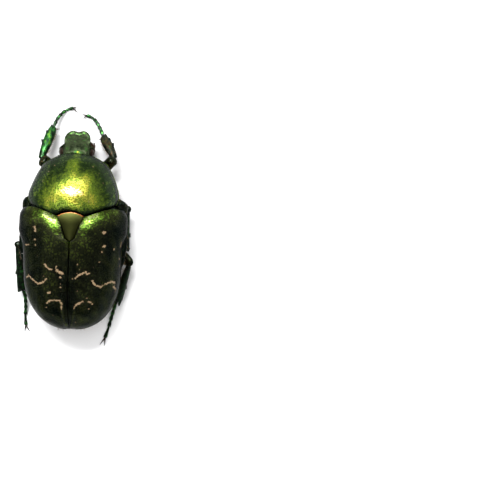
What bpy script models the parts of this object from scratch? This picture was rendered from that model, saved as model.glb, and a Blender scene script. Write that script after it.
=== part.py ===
"""A metallic flower chafer, a beetle about 21 mm long, as a still life-size model standing on its six feet.

Sizes and places are in millimetres from the body's own centre on the floor: +X is the beetle's right,
+Y the way its head points and +Z up. MM turns them into metres, and BODY_AT places that centre.
"""

import math

import bmesh
import bpy
import numpy as np
from mathutils import Vector

MM = 0.001
BODY_AT = Vector((0.08, -0.52, 0.0))
GAP = 0.3
SIDES = {"left": -1, "right": 1}

# Wing cases: half widths, heights of the outer margin and heights of the crown, by place along the body
ARC_START = -4.5
ARC_LENGTH = 5.9
ARC_WIDTH_POWERS = (2.0, 2.3)
ARC_RISE_POWERS = (2.4, 1.9)
ARC_END = 0.996
CASE_HALF_WIDTH = ((2.4, 5.3), (1.3, 5.65), (-0.1, 5.62), (-1.9, 5.12), (-3.2, 5.1), (-4.5, 5.05))
CASE_MARGIN = (
    (2.4, 5.0), (1.3, 4.9), (-0.3, 5.2), (-1.9, 5.35), (-3.4, 4.7), (-5.0, 4.35), (-8.0, 4.1), (-10.5, 4.2)
)
CASE_CROWN = ((2.4, 8.25), (1.0, 8.6), (-1.5, 8.75), (-4.5, 8.6))
CASE_ROUNDNESS = 2.4
CASE_THICKNESS = 0.55
CASE_FRONT = 2.1
CASE_FRONT_EDGE = ((0.0, -0.9), (1.3, -0.86), (2.2, -0.64), (2.7, -0.48), (3.5, -0.24), (4.6, -0.06), (5.6, 0.0))
CASE_FRONT_FADE = 4.0
CASE_STRAIGHT_ROWS, CASE_CURVED_ROWS, CASE_COLUMNS = 11, 8, 11
CASE_SCUTELLUM_GAP = 1.42 * GAP
CASE_WIDEST_INNER_EDGE = 0.8

# Fore shield (pronotum), from its front angles back to its hind angles
SHIELD_FRONT, SHIELD_BACK = 7.75, 2.65
SHIELD_HALF_WIDTH = (
    (7.75, 1.8), (7.3, 2.6), (6.9, 3.2), (6.3, 3.64), (5.6, 3.98), (4.7, 4.36), (3.5, 4.67), (2.65, 4.53)
)
SHIELD_MARGIN = ((7.75, 4.95), (6.3, 4.65), (4.7, 4.7), (3.5, 4.9), (2.65, 5.2))
SHIELD_CROWN = ((8.0, 5.65), (7.2, 6.6), (6.2, 7.4), (5.0, 8.05), (3.6, 8.45), (1.5, 8.55))
SHIELD_BASE_EDGE = ((0.0, -0.72), (0.7, -0.8), (1.35, -1.06), (2.6, -0.75), (3.6, -0.4), (4.7, 0.0))
SHIELD_FRONT_BULGE = 0.25
SHIELD_ROUNDNESS = 2.15
SHIELD_LIP = 0.35
SHIELD_SHIFT = -0.09
SHIELD_HOLLOW = 0.25
SHIELD_ROWS, SHIELD_COLUMNS = 12, 22

# Scutellum, the long triangle between the wing cases
SCUTELLUM_HALF_WIDTH = ((1.6, 1.15), (1.3, 1.14), (0.4, 0.82), (-0.45, 0.52), (-0.95, 0.36), (-1.17, 0.12))
SCUTELLUM_TOP, SCUTELLUM_THICKNESS = 8.5, 0.5
SCUTELLUM_FRONT_EDGE = 0.34
SCUTELLUM_CROWN = 0.08
SCUTELLUM_ROWS, SCUTELLUM_COLUMNS = 9, 7

# Trunk under the wing cases: half widths of its flanks and heights of its underside
FLANK_HALF_WIDTH = (
    (2.2, 4.45), (1.5, 5.25), (0.6, 5.55), (-1.4, 5.55), (-2.6, 5.42), (-4.0, 5.0), (-6.0, 4.72), (-7.5, 4.25),
    (-8.5, 3.72), (-9.15, 3.2),
)
UNDERSIDE = (
    (2.2, 2.6), (1.2, 2.1), (-1.0, 1.95), (-2.6, 2.1), (-4.0, 2.15), (-6.0, 2.15), (-8.0, 2.6), (-9.2, 3.2),
    (-10.1, 3.7),
)
FLANK_DROP = 0.4
UNDERSIDE_ROUNDNESS = 2.3
HIND_COXA_FRONT, HIND_COXA_BACK = -2.55, -3.75
ABDOMEN_BACK, PYGIDIUM_BACK = -9.15, -10.26
VENTRITES = (-4.05, -5.0, -6.0, -7.05, -8.1, ABDOMEN_BACK)
PYGIDIUM_LOW, PYGIDIUM_LOW_BACK, PYGIDIUM_INSET = 2.75, 3.55, 0.12
PYGIDIUM_SHARES = (0.0, 0.35, 0.65, 0.85, 1.0)
PYGIDIUM_RISE = 0.08
VENTRITE_STEP, VENTRITE_SEAM = 0.12, 0.14
TRUNK_TOP_POINTS, TRUNK_LOW_POINTS = 13, 15
ROOF_DROP, ROOF_DROP_FROM, ROOF_DROP_LENGTH = 0.36, -2.4, 0.6
ROOF_INSET = 0.35
SHELF_RISE = 0.05
TRUNK_HUB, HALF_HUB = (0.0, 3.7), (2.5, 3.7)
THORAX_PLACES = (1.15, 0.5, -0.3, -1.1, -1.9, HIND_COXA_FRONT)
NECK_STATIONS = ((2.55, 0.78), (2.1, 0.9), (1.25, 1.0))
NECK_ROOF, NECK_MIDDLE = 4.75, 3.6
KNOB_AT, KNOB_RADII = (0.0, 2.0, 2.3), (0.72, 0.5, 0.55)

# Underside of the fore shield
BREAST_FRONT, BREAST_BACK = 7.35, 2.95
BREAST_KEEL = ((7.35, 3.55), (6.4, 2.9), (5.2, 2.5), (3.8, 2.7), (2.95, 3.3))
BREAST_INSET, BREAST_ROOF_DROP, BREAST_ROUNDNESS = 0.25, 0.15, 1.9
BREAST_ROWS, BREAST_COLUMNS = 8, 12

# Flank plates: their outline from above, their size at each height and the place it grows from
MESEPIMERON_OUTLINE = ((4.92, 3.0), (5.02, 3.5), (5.25, 3.3), (5.5, 2.9), (5.6, 2.42), (4.9, 2.4))
MESEPIMERON_SIZES = ((3.5, 0.72), (4.2, 0.94), (4.8, 1.0), (5.1, 0.9), (5.25, 0.7))
MESEPIMERON_MIDDLE = (5.1, 2.7)

# Head: half widths, crown and underside by place along the body, and the notch in its front edge
HEAD_RINGS = (
    (8.28, 1.3, 5.15, 3.15), (8.7, 1.4, 4.98, 3.0), (9.1, 1.35, 4.72, 3.0), (9.55, 1.36, 4.42, 3.0),
    (9.88, 1.28, 4.12, 3.05), (10.2, 1.06, 3.9, 3.15), (10.43, 0.74, 3.75, 3.25),
)
HEAD_LENGTH = HEAD_RINGS[-1][0] - HEAD_RINGS[0][0]
HEAD_ROUNDNESS, HEAD_POINTS = 3.0, 20
HEAD_NOTCH, HEAD_NOTCH_WIDTH = 0.22, 0.36
EYE_AT, EYE_RADII = (1.38, 8.25, 3.85), (0.5, 0.54, 0.48)
SOCKET_GROWTH = 0.33

# Legs, by joint: the places where the parts of each leg meet, measured on the resting beetle
COXA_RADII = {"front": (0.85, 0.72, 0.75), "middle": (0.8, 0.6, 0.6)}
COXA_AT = {"front": (1.05, 5.15, 2.1), "middle": (1.5, 0.75, 2.0)}
LEGS = {
    "front_left": {
        "hip": (-1.9, 5.85, 1.42), "knee": (-3.7, 7.22, 2.75), "ankle": (-2.92, 10.95, 1.3),
        "foot": (
            (-2.73, 11.48, 1.1), (-2.54, 11.92, 0.85), (-2.2, 12.42, 0.55), (-1.7, 12.85, 0.2), (-0.96, 13.13, 0.16),
        ),
        "claws": ((-0.49, 12.61, 0.12), (-0.5, 13.22, 0.12)),
        "teeth": ((-4.12, 9.55, 1.95), (-3.68, 10.54, 1.5), (-3.1, 11.2, 1.3)), "spur": (-2.17, 10.76, 1.0),
    },
    "front_right": {
        "hip": (1.9, 5.88, 1.42), "knee": (3.6, 7.48, 2.85), "ankle": (2.38, 10.1, 1.3),
        "foot": (
            (2.17, 10.6, 1.1), (1.94, 11.06, 0.85), (1.53, 11.7, 0.55), (1.03, 12.13, 0.2), (0.4, 12.36, 0.16),
        ),
        "claws": ((0.02, 11.98, 0.12), (-0.1, 12.46, 0.12)),
        "teeth": ((3.6, 9.44, 1.8), (3.14, 9.98, 1.5), (2.62, 10.4, 1.3)), "spur": (1.82, 9.72, 1.0),
    },
    "middle_left": {
        "hip": (-2.5, 0.98, 1.3), "knee": (-4.75, 1.5, 2.45), "ankle": (-4.35, -2.2, 1.2),
        "foot": (
            (-4.25, -2.8, 1.0), (-4.15, -3.45, 0.75), (-4.1, -4.05, 0.45), (-4.12, -4.75, 0.2), (-4.2, -5.5, 0.16),
        ),
        "claws": ((-3.9, -6.1, 0.12), (-4.5, -6.05, 0.12)),
        "teeth": ((-5.1, -0.85, 1.7), (-4.85, -2.4, 1.15)), "spur": (-3.8, -2.45, 0.9),
    },
    "middle_right": {
        "hip": (2.5, 1.1, 1.3), "knee": (5.42, 2.4, 2.6), "ankle": (5.18, -1.95, 1.25),
        "foot": (
            (4.98, -2.55, 1.0), (4.75, -3.2, 0.75), (4.55, -3.82, 0.45), (4.42, -4.45, 0.2), (4.35, -5.2, 0.16),
        ),
        "claws": ((4.05, -5.8, 0.12), (4.65, -5.76, 0.12)),
        "teeth": ((5.74, -0.55, 1.75), (5.56, -2.1, 1.25)), "spur": (4.5, -2.25, 0.9),
    },
    "hind_left": {
        "hip": (-1.35, -3.3, 1.2), "knee": (-6.04, -1.75, 2.65), "ankle": (-5.6, -6.6, 1.25),
        "foot": (
            (-5.34, -7.21, 1.05), (-5.3, -7.93, 0.8), (-5.31, -8.65, 0.5), (-5.36, -9.38, 0.2), (-5.25, -10.45, 0.16),
        ),
        "claws": ((-4.81, -11.08, 0.12), (-5.4, -11.15, 0.12)),
        "teeth": ((-6.36, -4.9, 1.85), (-6.12, -6.85, 1.2)), "spur": (-5.05, -6.95, 0.8),
    },
    "hind_right": {
        "hip": (1.35, -3.45, 1.2), "knee": (5.77, -3.42, 2.65), "ankle": (4.47, -7.45, 1.25),
        "foot": (
            (4.26, -7.98, 1.05), (4.06, -8.7, 0.8), (3.84, -9.45, 0.5), (3.63, -10.25, 0.2), (3.25, -11.5, 0.16),
        ),
        "claws": ((2.72, -12.25, 0.12), (3.25, -12.33, 0.12)),
        "teeth": ((5.5, -6.1, 1.65), (4.72, -7.98, 1.2)), "spur": (3.92, -7.8, 0.8),
        "bend": (0.5, 1.1, 0.0), "breadth": 1.2,
    },
}
THIGH_RADII = {"front": (0.56, 0.48), "middle": (0.46, 0.38), "hind": (0.52, 0.38)}
THIGH_SHAPE = ((0.0, 0.56), (0.12, 0.85), (0.42, 1.1), (0.78, 1.04))
KNEE_SHAPE = ((0.0, 0.96), (0.26, 0.78), (0.4, 0.42))
SHIN_RADII = {"front": (0.5, 0.3), "middle": (0.42, 0.3), "hind": (0.48, 0.32)}
SHIN_SHAPES = {
    "front": ((0.0, 0.6), (0.1, 0.74), (0.42, 0.98), (0.72, 1.05), (0.9, 0.86), (1.0, 0.56)),
    "middle": ((0.0, 0.62), (0.1, 0.74), (0.4, 0.82), (0.75, 0.98), (0.93, 1.08), (1.0, 0.84)),
    "hind": ((0.0, 0.62), (0.1, 0.74), (0.4, 0.82), (0.75, 0.98), (0.93, 1.08), (1.0, 0.84)),
}
SHIN_OFFSET = {"front": 0.2, "middle": 0.0, "hind": 0.0}
KNEE_CLEARANCE = {"front": 0.8, "middle": 1.02, "hind": 0.98}
ANKLE_CLEARANCE = 0.3
TOOTH_RADIUS, SPUR_RADIUS = 0.25, 0.18
TOOTH_ROOT, SPUR_ROOT, SPUR_SHARE = 0.3, 0.35, 0.88
SPIKE_SHAPE = ((0.0, 1.0), (0.4, 0.85), (0.75, 0.55), (1.0, 0.2))
SPIKE_BROAD = Vector((0.31, 0.27, 0.91))
TOE_SHARES = (0.0, 0.2, 0.36, 0.52, 0.68, 1.0)
TOE_START, TOE_END = 0.02, 0.035
TOE_RADII, TOE_FLATNESS = (0.22, 0.28), 0.92
CLAW_RADIUS, CLAW_ARCH, CLAW_SINK = 0.16, 0.1, 0.14

# Feelers, with their three-leaved clubs, and mouthparts
SCAPE = ((1.12, 9.5, 2.38), (1.43, 9.0, 2.34), (1.6, 8.6, 2.1), (1.58, 8.42, 1.8))
SCAPE_RADII = (0.26, 0.25, 0.25, 0.25, 0.25, 0.26, 0.26)
CLUB_FROM, CLUB_TO = (1.54, 8.45, 1.66), (1.28, 9.45, 1.5)
CLUB_SPREAD, CLUB_DROP = 0.26, 0.1
LEAF_SHAPE = ((0.0, 0.16, 0.24), (0.3, 0.17, 0.34), (0.7, 0.16, 0.36), (1.0, 0.09, 0.2))
MOUTH_RINGS = ((8.45, 0.34, 2.55, 2.2), (8.9, 0.5, 2.68, 2.1), (9.5, 0.52, 2.68, 2.15), (10.0, 0.3, 2.7, 2.3))
MOUTH_POINTS = 10
PALP = ((0.35, 9.5, 2.3), (0.62, 9.9, 1.95), (0.72, 10.25, 1.75), (0.62, 10.6, 1.6))
PALP_RADII = (0.25, 0.25, 0.25, 0.25, 0.24, 0.12)
STALK_BROAD = Vector((0.2, 0.3, 1.0))
SMOOTH_UP_TO = math.radians(40)


def clear_scene():
    for obj in list(bpy.data.objects):
        bpy.data.objects.remove(obj, do_unlink=True)


def finish_material(name, colour, metallic, roughness):
    """One shell finish: colour is linear red, green and blue."""
    material = bpy.data.materials.new(name)
    material.use_nodes = True
    shader = material.node_tree.nodes["Principled BSDF"]
    shader.inputs["Base Color"].default_value = (*colour, 1.0)
    shader.inputs["Metallic"].default_value = metallic
    shader.inputs["Roughness"].default_value = roughness
    return material


def through(stations):
    """A smooth function through (place, value) stations that never overshoots them."""
    places, values = np.array(sorted(stations), float).T
    slopes = np.diff(values) / np.diff(places)
    tangents = np.concatenate([slopes[:1], np.zeros(len(slopes) - 1), slopes[-1:]])
    for i, (before, after) in enumerate(zip(slopes[:-1], slopes[1:]), start=1):
        if before * after > 0:
            tangents[i] = 2 * before * after / (before + after)

    def value(place):
        place = min(max(place, places[0]), places[-1])
        i = min(int(np.searchsorted(places, place, side="right")) - 1, len(places) - 2)
        width = places[i + 1] - places[i]
        t = (place - places[i]) / width
        smooth = t * t * (3 - 2 * t)
        ease = width * t * (1 - t) * ((1 - t) * tangents[i] - t * tangents[i + 1])
        return float(values[i] * (1 - smooth) + values[i + 1] * smooth + ease)

    return value


case_half_width = through(CASE_HALF_WIDTH)
case_margin = through(CASE_MARGIN)
case_crown = through(CASE_CROWN)
case_front_edge = through(CASE_FRONT_EDGE)
shield_half_width = through(SHIELD_HALF_WIDTH)
shield_margin = through(SHIELD_MARGIN)
shield_crown = through(SHIELD_CROWN)
shield_base_edge = through(SHIELD_BASE_EDGE)
scutellum_half_width = through(SCUTELLUM_HALF_WIDTH)
flank_half_width = through(FLANK_HALF_WIDTH)
underside = through(UNDERSIDE)
breast_keel = through(BREAST_KEEL)


def new_object(name, mesh_builder, material):
    """An object from a bmesh in millimetres, with its faces turned outwards."""
    bmesh.ops.recalc_face_normals(mesh_builder, faces=mesh_builder.faces)
    if mesh_builder.calc_volume(signed=True) < 0:
        bmesh.ops.reverse_faces(mesh_builder, faces=mesh_builder.faces)
    for vertex in mesh_builder.verts:
        vertex.co = (vertex.co + BODY_AT) * MM
    mesh = bpy.data.meshes.new(name)
    mesh_builder.to_mesh(mesh)
    mesh_builder.free()
    obj = bpy.data.objects.new(name, mesh)
    bpy.context.scene.collection.objects.link(obj)
    mesh.materials.append(material)
    mesh.shade_smooth()
    mesh.set_sharp_from_angle(angle=SMOOTH_UP_TO)
    return obj


def loft(name, rings, material, hub=None):
    """A closed body through rings of equal count, capped at both ends, round a hub where one is given."""
    builder = bmesh.new()
    rows = [[builder.verts.new(point) for point in ring] for ring in rings]
    count = len(rings[0])
    for low, high in zip(rows[:-1], rows[1:]):
        for i in range(count):
            j = (i + 1) % count
            builder.faces.new((low[i], low[j], high[j], high[i]))
    for row in (rows[0], rows[-1]):
        close_end(builder, row, hub)
    return new_object(name, builder, material)


def close_end(builder, row, hub=None):
    """Fills a ring with a fan about a hub (its x and z), or with strips that run across it."""
    if hub:
        middle = builder.verts.new((hub[0], row[0].co.y, hub[1]))
        for first, second in zip(row, row[1:] + row[:1]):
            builder.faces.new((first, second, middle))
        return
    low, high = 0, len(row) - 1
    while high - low > 2:
        builder.faces.new((row[low], row[low + 1], row[high - 1], row[high]))
        low, high = low + 1, high - 1
    if high - low == 2:
        builder.faces.new((row[low], row[low + 1], row[high]))


def shell(name, outer, inner, material):
    """A closed plate between two grids of points that share their rows and columns."""
    builder = bmesh.new()
    grids = [[[builder.verts.new(point) for point in row] for row in grid] for grid in (outer, inner)]
    last_row, last_column = len(outer) - 1, len(outer[0]) - 1
    for grid in grids:
        for r in range(last_row):
            for c in range(last_column):
                builder.faces.new((grid[r][c], grid[r][c + 1], grid[r + 1][c + 1], grid[r + 1][c]))
    top, under = grids
    rim = [(0, c) for c in range(last_column)] + [(r, last_column) for r in range(last_row)]
    rim += [(last_row, c) for c in range(last_column, 0, -1)] + [(r, 0) for r in range(last_row, 0, -1)]
    for (r, c), (r2, c2) in zip(rim, rim[1:] + rim[:1]):
        builder.faces.new((top[r][c], top[r2][c2], under[r2][c2], under[r][c]))
    return new_object(name, builder, material)


def ellipsoid(name, centre, radii, material, segments=14, rings=9):
    builder = bmesh.new()
    bmesh.ops.create_uvsphere(builder, u_segments=segments, v_segments=rings, radius=1.0)
    for vertex in builder.verts:
        vertex.co = Vector(a * b for a, b in zip(vertex.co, radii)) + Vector(centre)
    return new_object(name, builder, material)


def keep_largest(builder):
    """Leaves only the connected surface with the most volume."""
    left, surfaces = set(builder.faces), []
    while left:
        stack, found = [left.pop()], set()
        while stack:
            face = stack.pop()
            found.add(face)
            for edge in face.edges:
                for other in edge.link_faces:
                    if other in left:
                        left.remove(other)
                        stack.append(other)
        surfaces.append(found)

    def volume(faces):
        return sum(f.normal.dot(f.calc_center_median()) * f.calc_area() for f in faces) / 3

    best = max(surfaces, key=lambda faces: abs(volume(faces)))
    loose = [f for f in builder.faces if f not in best]
    bmesh.ops.delete(builder, geom=loose, context="FACES")


def apply_boolean(obj, others, operation):
    """Joins the others to obj or cuts them from it, then removes them."""
    tools = bpy.data.collections.new("tools")
    bpy.context.scene.collection.children.link(tools)
    for other in others:
        bpy.context.scene.collection.objects.unlink(other)
        tools.objects.link(other)
    modifier = obj.modifiers.new("join", "BOOLEAN")
    modifier.operation = operation
    modifier.operand_type = "COLLECTION"
    modifier.collection = tools
    graph = bpy.context.evaluated_depsgraph_get()
    mesh = bpy.data.meshes.new_from_object(obj.evaluated_get(graph))
    obj.modifiers.clear()
    builder = bmesh.new()
    builder.from_mesh(mesh)
    keep_largest(builder)
    bmesh.ops.triangulate(builder, faces=[f for f in builder.faces if len(f.verts) > 4])
    builder.to_mesh(mesh)
    builder.free()
    obj.data = mesh
    for other in list(tools.objects):
        bpy.data.objects.remove(other, do_unlink=True)
    bpy.data.collections.remove(tools)
    return obj


def arc(half_width, rise, roundness, angle):
    """A point on a superellipse: angle 0 is its top and a quarter turn its right edge."""
    power = 2 / roundness
    across = abs(math.sin(angle)) ** power * half_width
    return math.copysign(across, angle), max(math.cos(angle), 0.0) ** power * rise


def case_section(place, depth):
    """(y, half width, margin height, rise) of the wing cases' surface, taken in by depth."""
    if place >= ARC_START:
        margin = case_margin(place)
        return place, case_half_width(place) - depth, margin, case_crown(place) - margin - depth
    share = (ARC_START - place) / ARC_LENGTH
    margin = case_margin(place)
    narrow = (1 - share ** ARC_WIDTH_POWERS[0]) ** (1 / ARC_WIDTH_POWERS[1])
    low = (1 - share ** ARC_RISE_POWERS[0]) ** (1 / ARC_RISE_POWERS[1])
    y = ARC_START - share * (ARC_LENGTH - depth)
    full_width = case_half_width(ARC_START) - depth
    return y, full_width * narrow, margin, (case_crown(ARC_START) - margin - depth) * low


def case_place(y, depth):
    """The place whose section, taken in by depth, lies at this y."""
    if y >= ARC_START:
        return y
    return ARC_START - (ARC_START - y) * ARC_LENGTH / (ARC_LENGTH - depth)


def case_inner_edge(y):
    """How far a wing case's inner edge stands from the middle, round the scutellum and along the seam."""
    if y < SCUTELLUM_HALF_WIDTH[-1][0] - GAP:
        return GAP / 2
    return max(GAP / 2, scutellum_half_width(y) + CASE_SCUTELLUM_GAP)


def case_grid(side, depth):
    """The grid of points of one wing case's outer or inner surface, front to back and seam to margin."""
    straight = np.linspace(CASE_FRONT, ARC_START, CASE_STRAIGHT_ROWS, endpoint=False)
    turns = np.linspace(0, math.pi / 2, CASE_CURVED_ROWS)
    curved = [ARC_START - ARC_LENGTH * ARC_END * math.sin(turn) for turn in turns]
    grid = []
    for place in [*straight, *curved]:
        y, half_width, margin, rise = case_section(place, depth)
        fade = max(0.0, 1 - (CASE_FRONT - y) / CASE_FRONT_FADE) ** 2
        beside_scutellum = y + case_front_edge(CASE_FRONT_EDGE[1][0]) * fade
        inner = min(case_inner_edge(beside_scutellum), half_width * CASE_WIDEST_INNER_EDGE)
        start = math.asin((inner / half_width) ** (CASE_ROUNDNESS / 2))
        row = []
        for share in np.linspace(0, 1, CASE_COLUMNS):
            angle = start + (math.pi / 2 - start) * share
            x, z = arc(half_width, rise, CASE_ROUNDNESS, angle)
            row.append((side * x, y + case_front_edge(x) * fade, margin + z))
        grid.append(row)
    return grid


def make_wing_cases(material):
    for name, side in SIDES.items():
        shell(f"elytron_{name}", case_grid(side, 0.0), case_grid(side, CASE_THICKNESS), material)


def shield_point(row_share, angle, lowered=False):
    """A point of the fore shield's outer surface, or of its underside."""
    end = SHIELD_FRONT + (SHIELD_BACK - SHIELD_FRONT) * row_share
    half_width = shield_half_width(end)
    x, arch = arc(half_width, 1.0, SHIELD_ROUNDNESS, angle)
    bulge = SHIELD_FRONT_BULGE * (1 - row_share) ** 2 * (1 - (x / half_width) ** 2)
    y = end + bulge + shield_base_edge(abs(x)) * row_share**3
    margin, crown = shield_margin(end), shield_crown(y)
    shift = SHIELD_SHIFT * row_share
    if lowered:
        x *= 1 - SHIELD_LIP / half_width
        return x + shift, y, margin - SHIELD_LIP + SHIELD_HOLLOW * (crown - margin) * arch
    return x + shift, y, margin + (crown - margin) * arch


def make_shield(material):
    angles = np.linspace(-math.pi / 2, math.pi / 2, SHIELD_COLUMNS)
    shares = [0.5 * t + 0.5 * math.sin(t * math.pi / 2) ** 2 for t in np.linspace(0, 1, SHIELD_ROWS)]
    top, under = (
        [[shield_point(share, angle, lowered) for angle in angles] for share in shares] for lowered in (False, True)
    )
    shell("pronotum", top, under, material)


def make_scutellum(material):
    places = np.linspace(SCUTELLUM_HALF_WIDTH[0][0], SCUTELLUM_HALF_WIDTH[-1][0], SCUTELLUM_ROWS)
    grids = []
    for drop in (0.0, SCUTELLUM_THICKNESS):
        grid = []
        for place in places:
            half_width = scutellum_half_width(place)
            fade = max(0.0, place / SCUTELLUM_HALF_WIDTH[0][0])
            row = []
            for share in np.linspace(-1, 1, SCUTELLUM_COLUMNS):
                front = -SCUTELLUM_FRONT_EDGE * share**2 * fade
                top = SCUTELLUM_TOP - SCUTELLUM_CROWN * share**2
                row.append((share * half_width, place + front, top - drop))
            grid.append(row)
        grids.append(grid)
    shell("scutellum", grids[0], grids[1], material)


def trunk_ring(y, low_step=0.0, half=0):
    """A ring round the trunk: its roof lies under the wing cases, and its flanks come out to their margins."""
    inset = CASE_THICKNESS + GAP
    _, half_width, _, rise = case_section(case_place(y, inset), inset)
    margin = case_margin(y)
    edge = margin - FLANK_DROP
    flank = flank_half_width(y)
    rise -= ROOF_DROP * min(max((y - ROOF_DROP_FROM) / ROOF_DROP_LENGTH, 0.0), 1.0)
    roof_width = min(half_width, flank - ROOF_INSET)
    low = edge - underside(y) - low_step
    first, last = 0.0 if half else -math.pi / 2, math.pi / 2
    roof = [arc(roof_width, rise, CASE_ROUNDNESS, a) for a in np.linspace(first, last, TRUNK_TOP_POINTS)]
    belly = [arc(flank, -low, UNDERSIDE_ROUNDNESS, a) for a in np.linspace(last, first, TRUNK_LOW_POINTS)]
    ring = [(x, y, edge + SHELF_RISE + z) for x, z in roof] + [(x, y, edge + z) for x, z in belly]
    if half:
        ring = [(half * max(x, GAP / 2), y, z) for x, y, z in ring]
    return ring


def make_thorax(material):
    """The middle and hind thorax in one piece, with the knob between the middle legs."""
    rings = [trunk_ring(place) for place in THORAX_PLACES]
    necks = []
    for y, narrowing in NECK_STATIONS:
        low = [(x * narrowing, min(z, NECK_ROOF)) for x, _, z in rings[0]]
        necks.append([(x, y, z + (1 - narrowing) * (NECK_MIDDLE - z)) for x, z in low])
    thorax = loft("thorax", [*necks, *rings], material, TRUNK_HUB)
    knob = ellipsoid("knob", KNOB_AT, KNOB_RADII, material, 12, 7)
    apply_boolean(thorax, [knob], "UNION")
    sockets = []
    for side in SIDES.values():
        x, y, z = COXA_AT["middle"]
        radii = [r + SOCKET_GROWTH for r in COXA_RADII["middle"]]
        sockets.append(ellipsoid("socket", (side * x, y, z), radii, material))
    return apply_boolean(thorax, sockets, "DIFFERENCE")


def make_hind_coxae(material):
    places = (HIND_COXA_FRONT - GAP, (HIND_COXA_FRONT + HIND_COXA_BACK) / 2, HIND_COXA_BACK)
    for name, side in SIDES.items():
        hub = (side * HALF_HUB[0], HALF_HUB[1])
        loft(f"coxa_hind_{name}", [trunk_ring(place, half=side) for place in places], material, hub)


def make_abdomen(material):
    """The belly, each of its rings standing a little proud of the next."""
    rings = []
    for front, back in zip(VENTRITES[:-1], VENTRITES[1:]):
        rings.append(trunk_ring(front, -VENTRITE_STEP))
        rings.append(trunk_ring(back + VENTRITE_SEAM))
    rings.append(trunk_ring(VENTRITES[-1]))
    loft("abdomen", rings, material, TRUNK_HUB)


def make_pygidium(material):
    """The last plate, which closes the tail under the tips of the wing cases."""
    rings = []
    for share in PYGIDIUM_SHARES:
        y = ABDOMEN_BACK - GAP + (PYGIDIUM_BACK - ABDOMEN_BACK + GAP) * share
        half_width = case_section(y, 0.0)[1] - PYGIDIUM_INSET
        edge = case_margin(y) - FLANK_DROP
        low = edge - PYGIDIUM_LOW - (PYGIDIUM_LOW_BACK - PYGIDIUM_LOW) * share**2
        roof = [arc(half_width, PYGIDIUM_RISE, 2.0, a) for a in np.linspace(-math.pi / 2, math.pi / 2, 9)]
        belly = [arc(half_width, -low, 2.0, a) for a in np.linspace(math.pi / 2, -math.pi / 2, 11)[1:-1]]
        rings.append([(x, y, edge + z) for x, z in roof + belly])
    loft("pygidium", rings, material)


def make_breast(material):
    """The underside of the fore shield, with sockets for the front legs."""
    rings = []
    angles = np.linspace(-math.pi / 2, math.pi / 2, BREAST_COLUMNS)
    for y in np.linspace(BREAST_FRONT, BREAST_BACK, BREAST_ROWS):
        margin, crown = shield_margin(y), shield_crown(y)
        half_width = shield_half_width(y) - SHIELD_LIP - BREAST_INSET
        edge = margin - SHIELD_LIP - GAP
        rise = SHIELD_HOLLOW * (crown - margin) - BREAST_ROOF_DROP
        roof = [arc(half_width, rise, SHIELD_ROUNDNESS, a) for a in angles]
        low = edge - breast_keel(y)
        belly = [arc(half_width, -low, BREAST_ROUNDNESS, a) for a in angles[::-1][1:-1]]
        rings.append([(x, y, edge + z) for x, z in roof + belly])
    breast = loft("prosternum", rings, material)
    sockets = []
    for side in SIDES.values():
        x, y, z = COXA_AT["front"]
        radii = [r + SOCKET_GROWTH for r in COXA_RADII["front"]]
        sockets.append(ellipsoid("socket", (side * x, y, z), radii, material))
    return apply_boolean(breast, sockets, "DIFFERENCE")


def make_mesepimera(material):
    """The small flank plates that show between the shield's hind angles and the wing cases' shoulders."""
    middle = Vector(MESEPIMERON_MIDDLE)
    for name, side in SIDES.items():
        rings = []
        for z, size in MESEPIMERON_SIZES:
            points = [middle.lerp(Vector(corner), size) for corner in MESEPIMERON_OUTLINE]
            rings.append([(side * p.x, p.y, z) for p in points])
        loft(f"mesepimeron_{name}", rings, material)


def make_head(material, eye_material):
    rings = []
    for y, half_width, crown, low in HEAD_RINGS:
        middle = (crown + low) / 2
        ring = []
        for i in range(HEAD_POINTS):
            angle = 2 * math.pi * (i + 0.5) / HEAD_POINTS
            across = math.copysign(abs(math.sin(angle)) ** (2 / HEAD_ROUNDNESS), math.sin(angle))
            up = math.copysign(abs(math.cos(angle)) ** (2 / HEAD_ROUNDNESS), math.cos(angle))
            x = half_width * across
            notch = HEAD_NOTCH * math.exp(-((x / HEAD_NOTCH_WIDTH) ** 2)) * (y - HEAD_RINGS[0][0]) / HEAD_LENGTH
            ring.append((x, y - notch, middle + (crown - low) / 2 * up))
        rings.append(ring)
    head = loft("head", rings, material)
    sockets = []
    for name, side in SIDES.items():
        centre = (side * EYE_AT[0], EYE_AT[1], EYE_AT[2])
        ellipsoid(f"eye_{name}", centre, EYE_RADII, eye_material, 14, 8)
        sockets.append(ellipsoid("socket", centre, [r + SOCKET_GROWTH for r in EYE_RADII], material))
    apply_boolean(head, sockets, "DIFFERENCE")


def frame_along(direction, broad):
    """Two unit vectors across a direction, the first as near to broad as it can be."""
    direction = direction.normalized()
    across = (broad - direction * broad.dot(direction)).normalized()
    return across, direction.cross(across)


def tube_rings(centres, radii, broad, sides=8, floor=None):
    """Rings along a line of centres, each with its radius across and its radius through."""
    rings = []
    for i, (centre, (wide, thick)) in enumerate(zip(centres, radii)):
        before, after = centres[max(i - 1, 0)], centres[min(i + 1, len(centres) - 1)]
        across, through_way = frame_along(after - before, broad)
        ring = []
        for k in range(sides):
            angle = 2 * math.pi * (k + 0.5) / sides
            point = centre + across * (wide * math.cos(angle)) + through_way * (thick * math.sin(angle))
            if floor is not None:
                point.z = max(point.z, floor)
            ring.append(point)
        rings.append(ring)
    return rings


def bow(share):
    """How much of a limb's bend shows at a share of its length: all of it at the middle."""
    return 4 * share * (1 - share)


def spike(name, root, tip, radius, material, bend=Vector((0, 0, 0)), sides=6):
    """A tapering, slightly bent point, such as a spur or a claw."""
    centres = [root.lerp(tip, share) + bend * bow(share) for share, _ in SPIKE_SHAPE]
    radii = [(radius * size, radius * size) for _, size in SPIKE_SHAPE]
    return loft(name, tube_rings(centres, radii, SPIKE_BROAD, sides), material)


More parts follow.
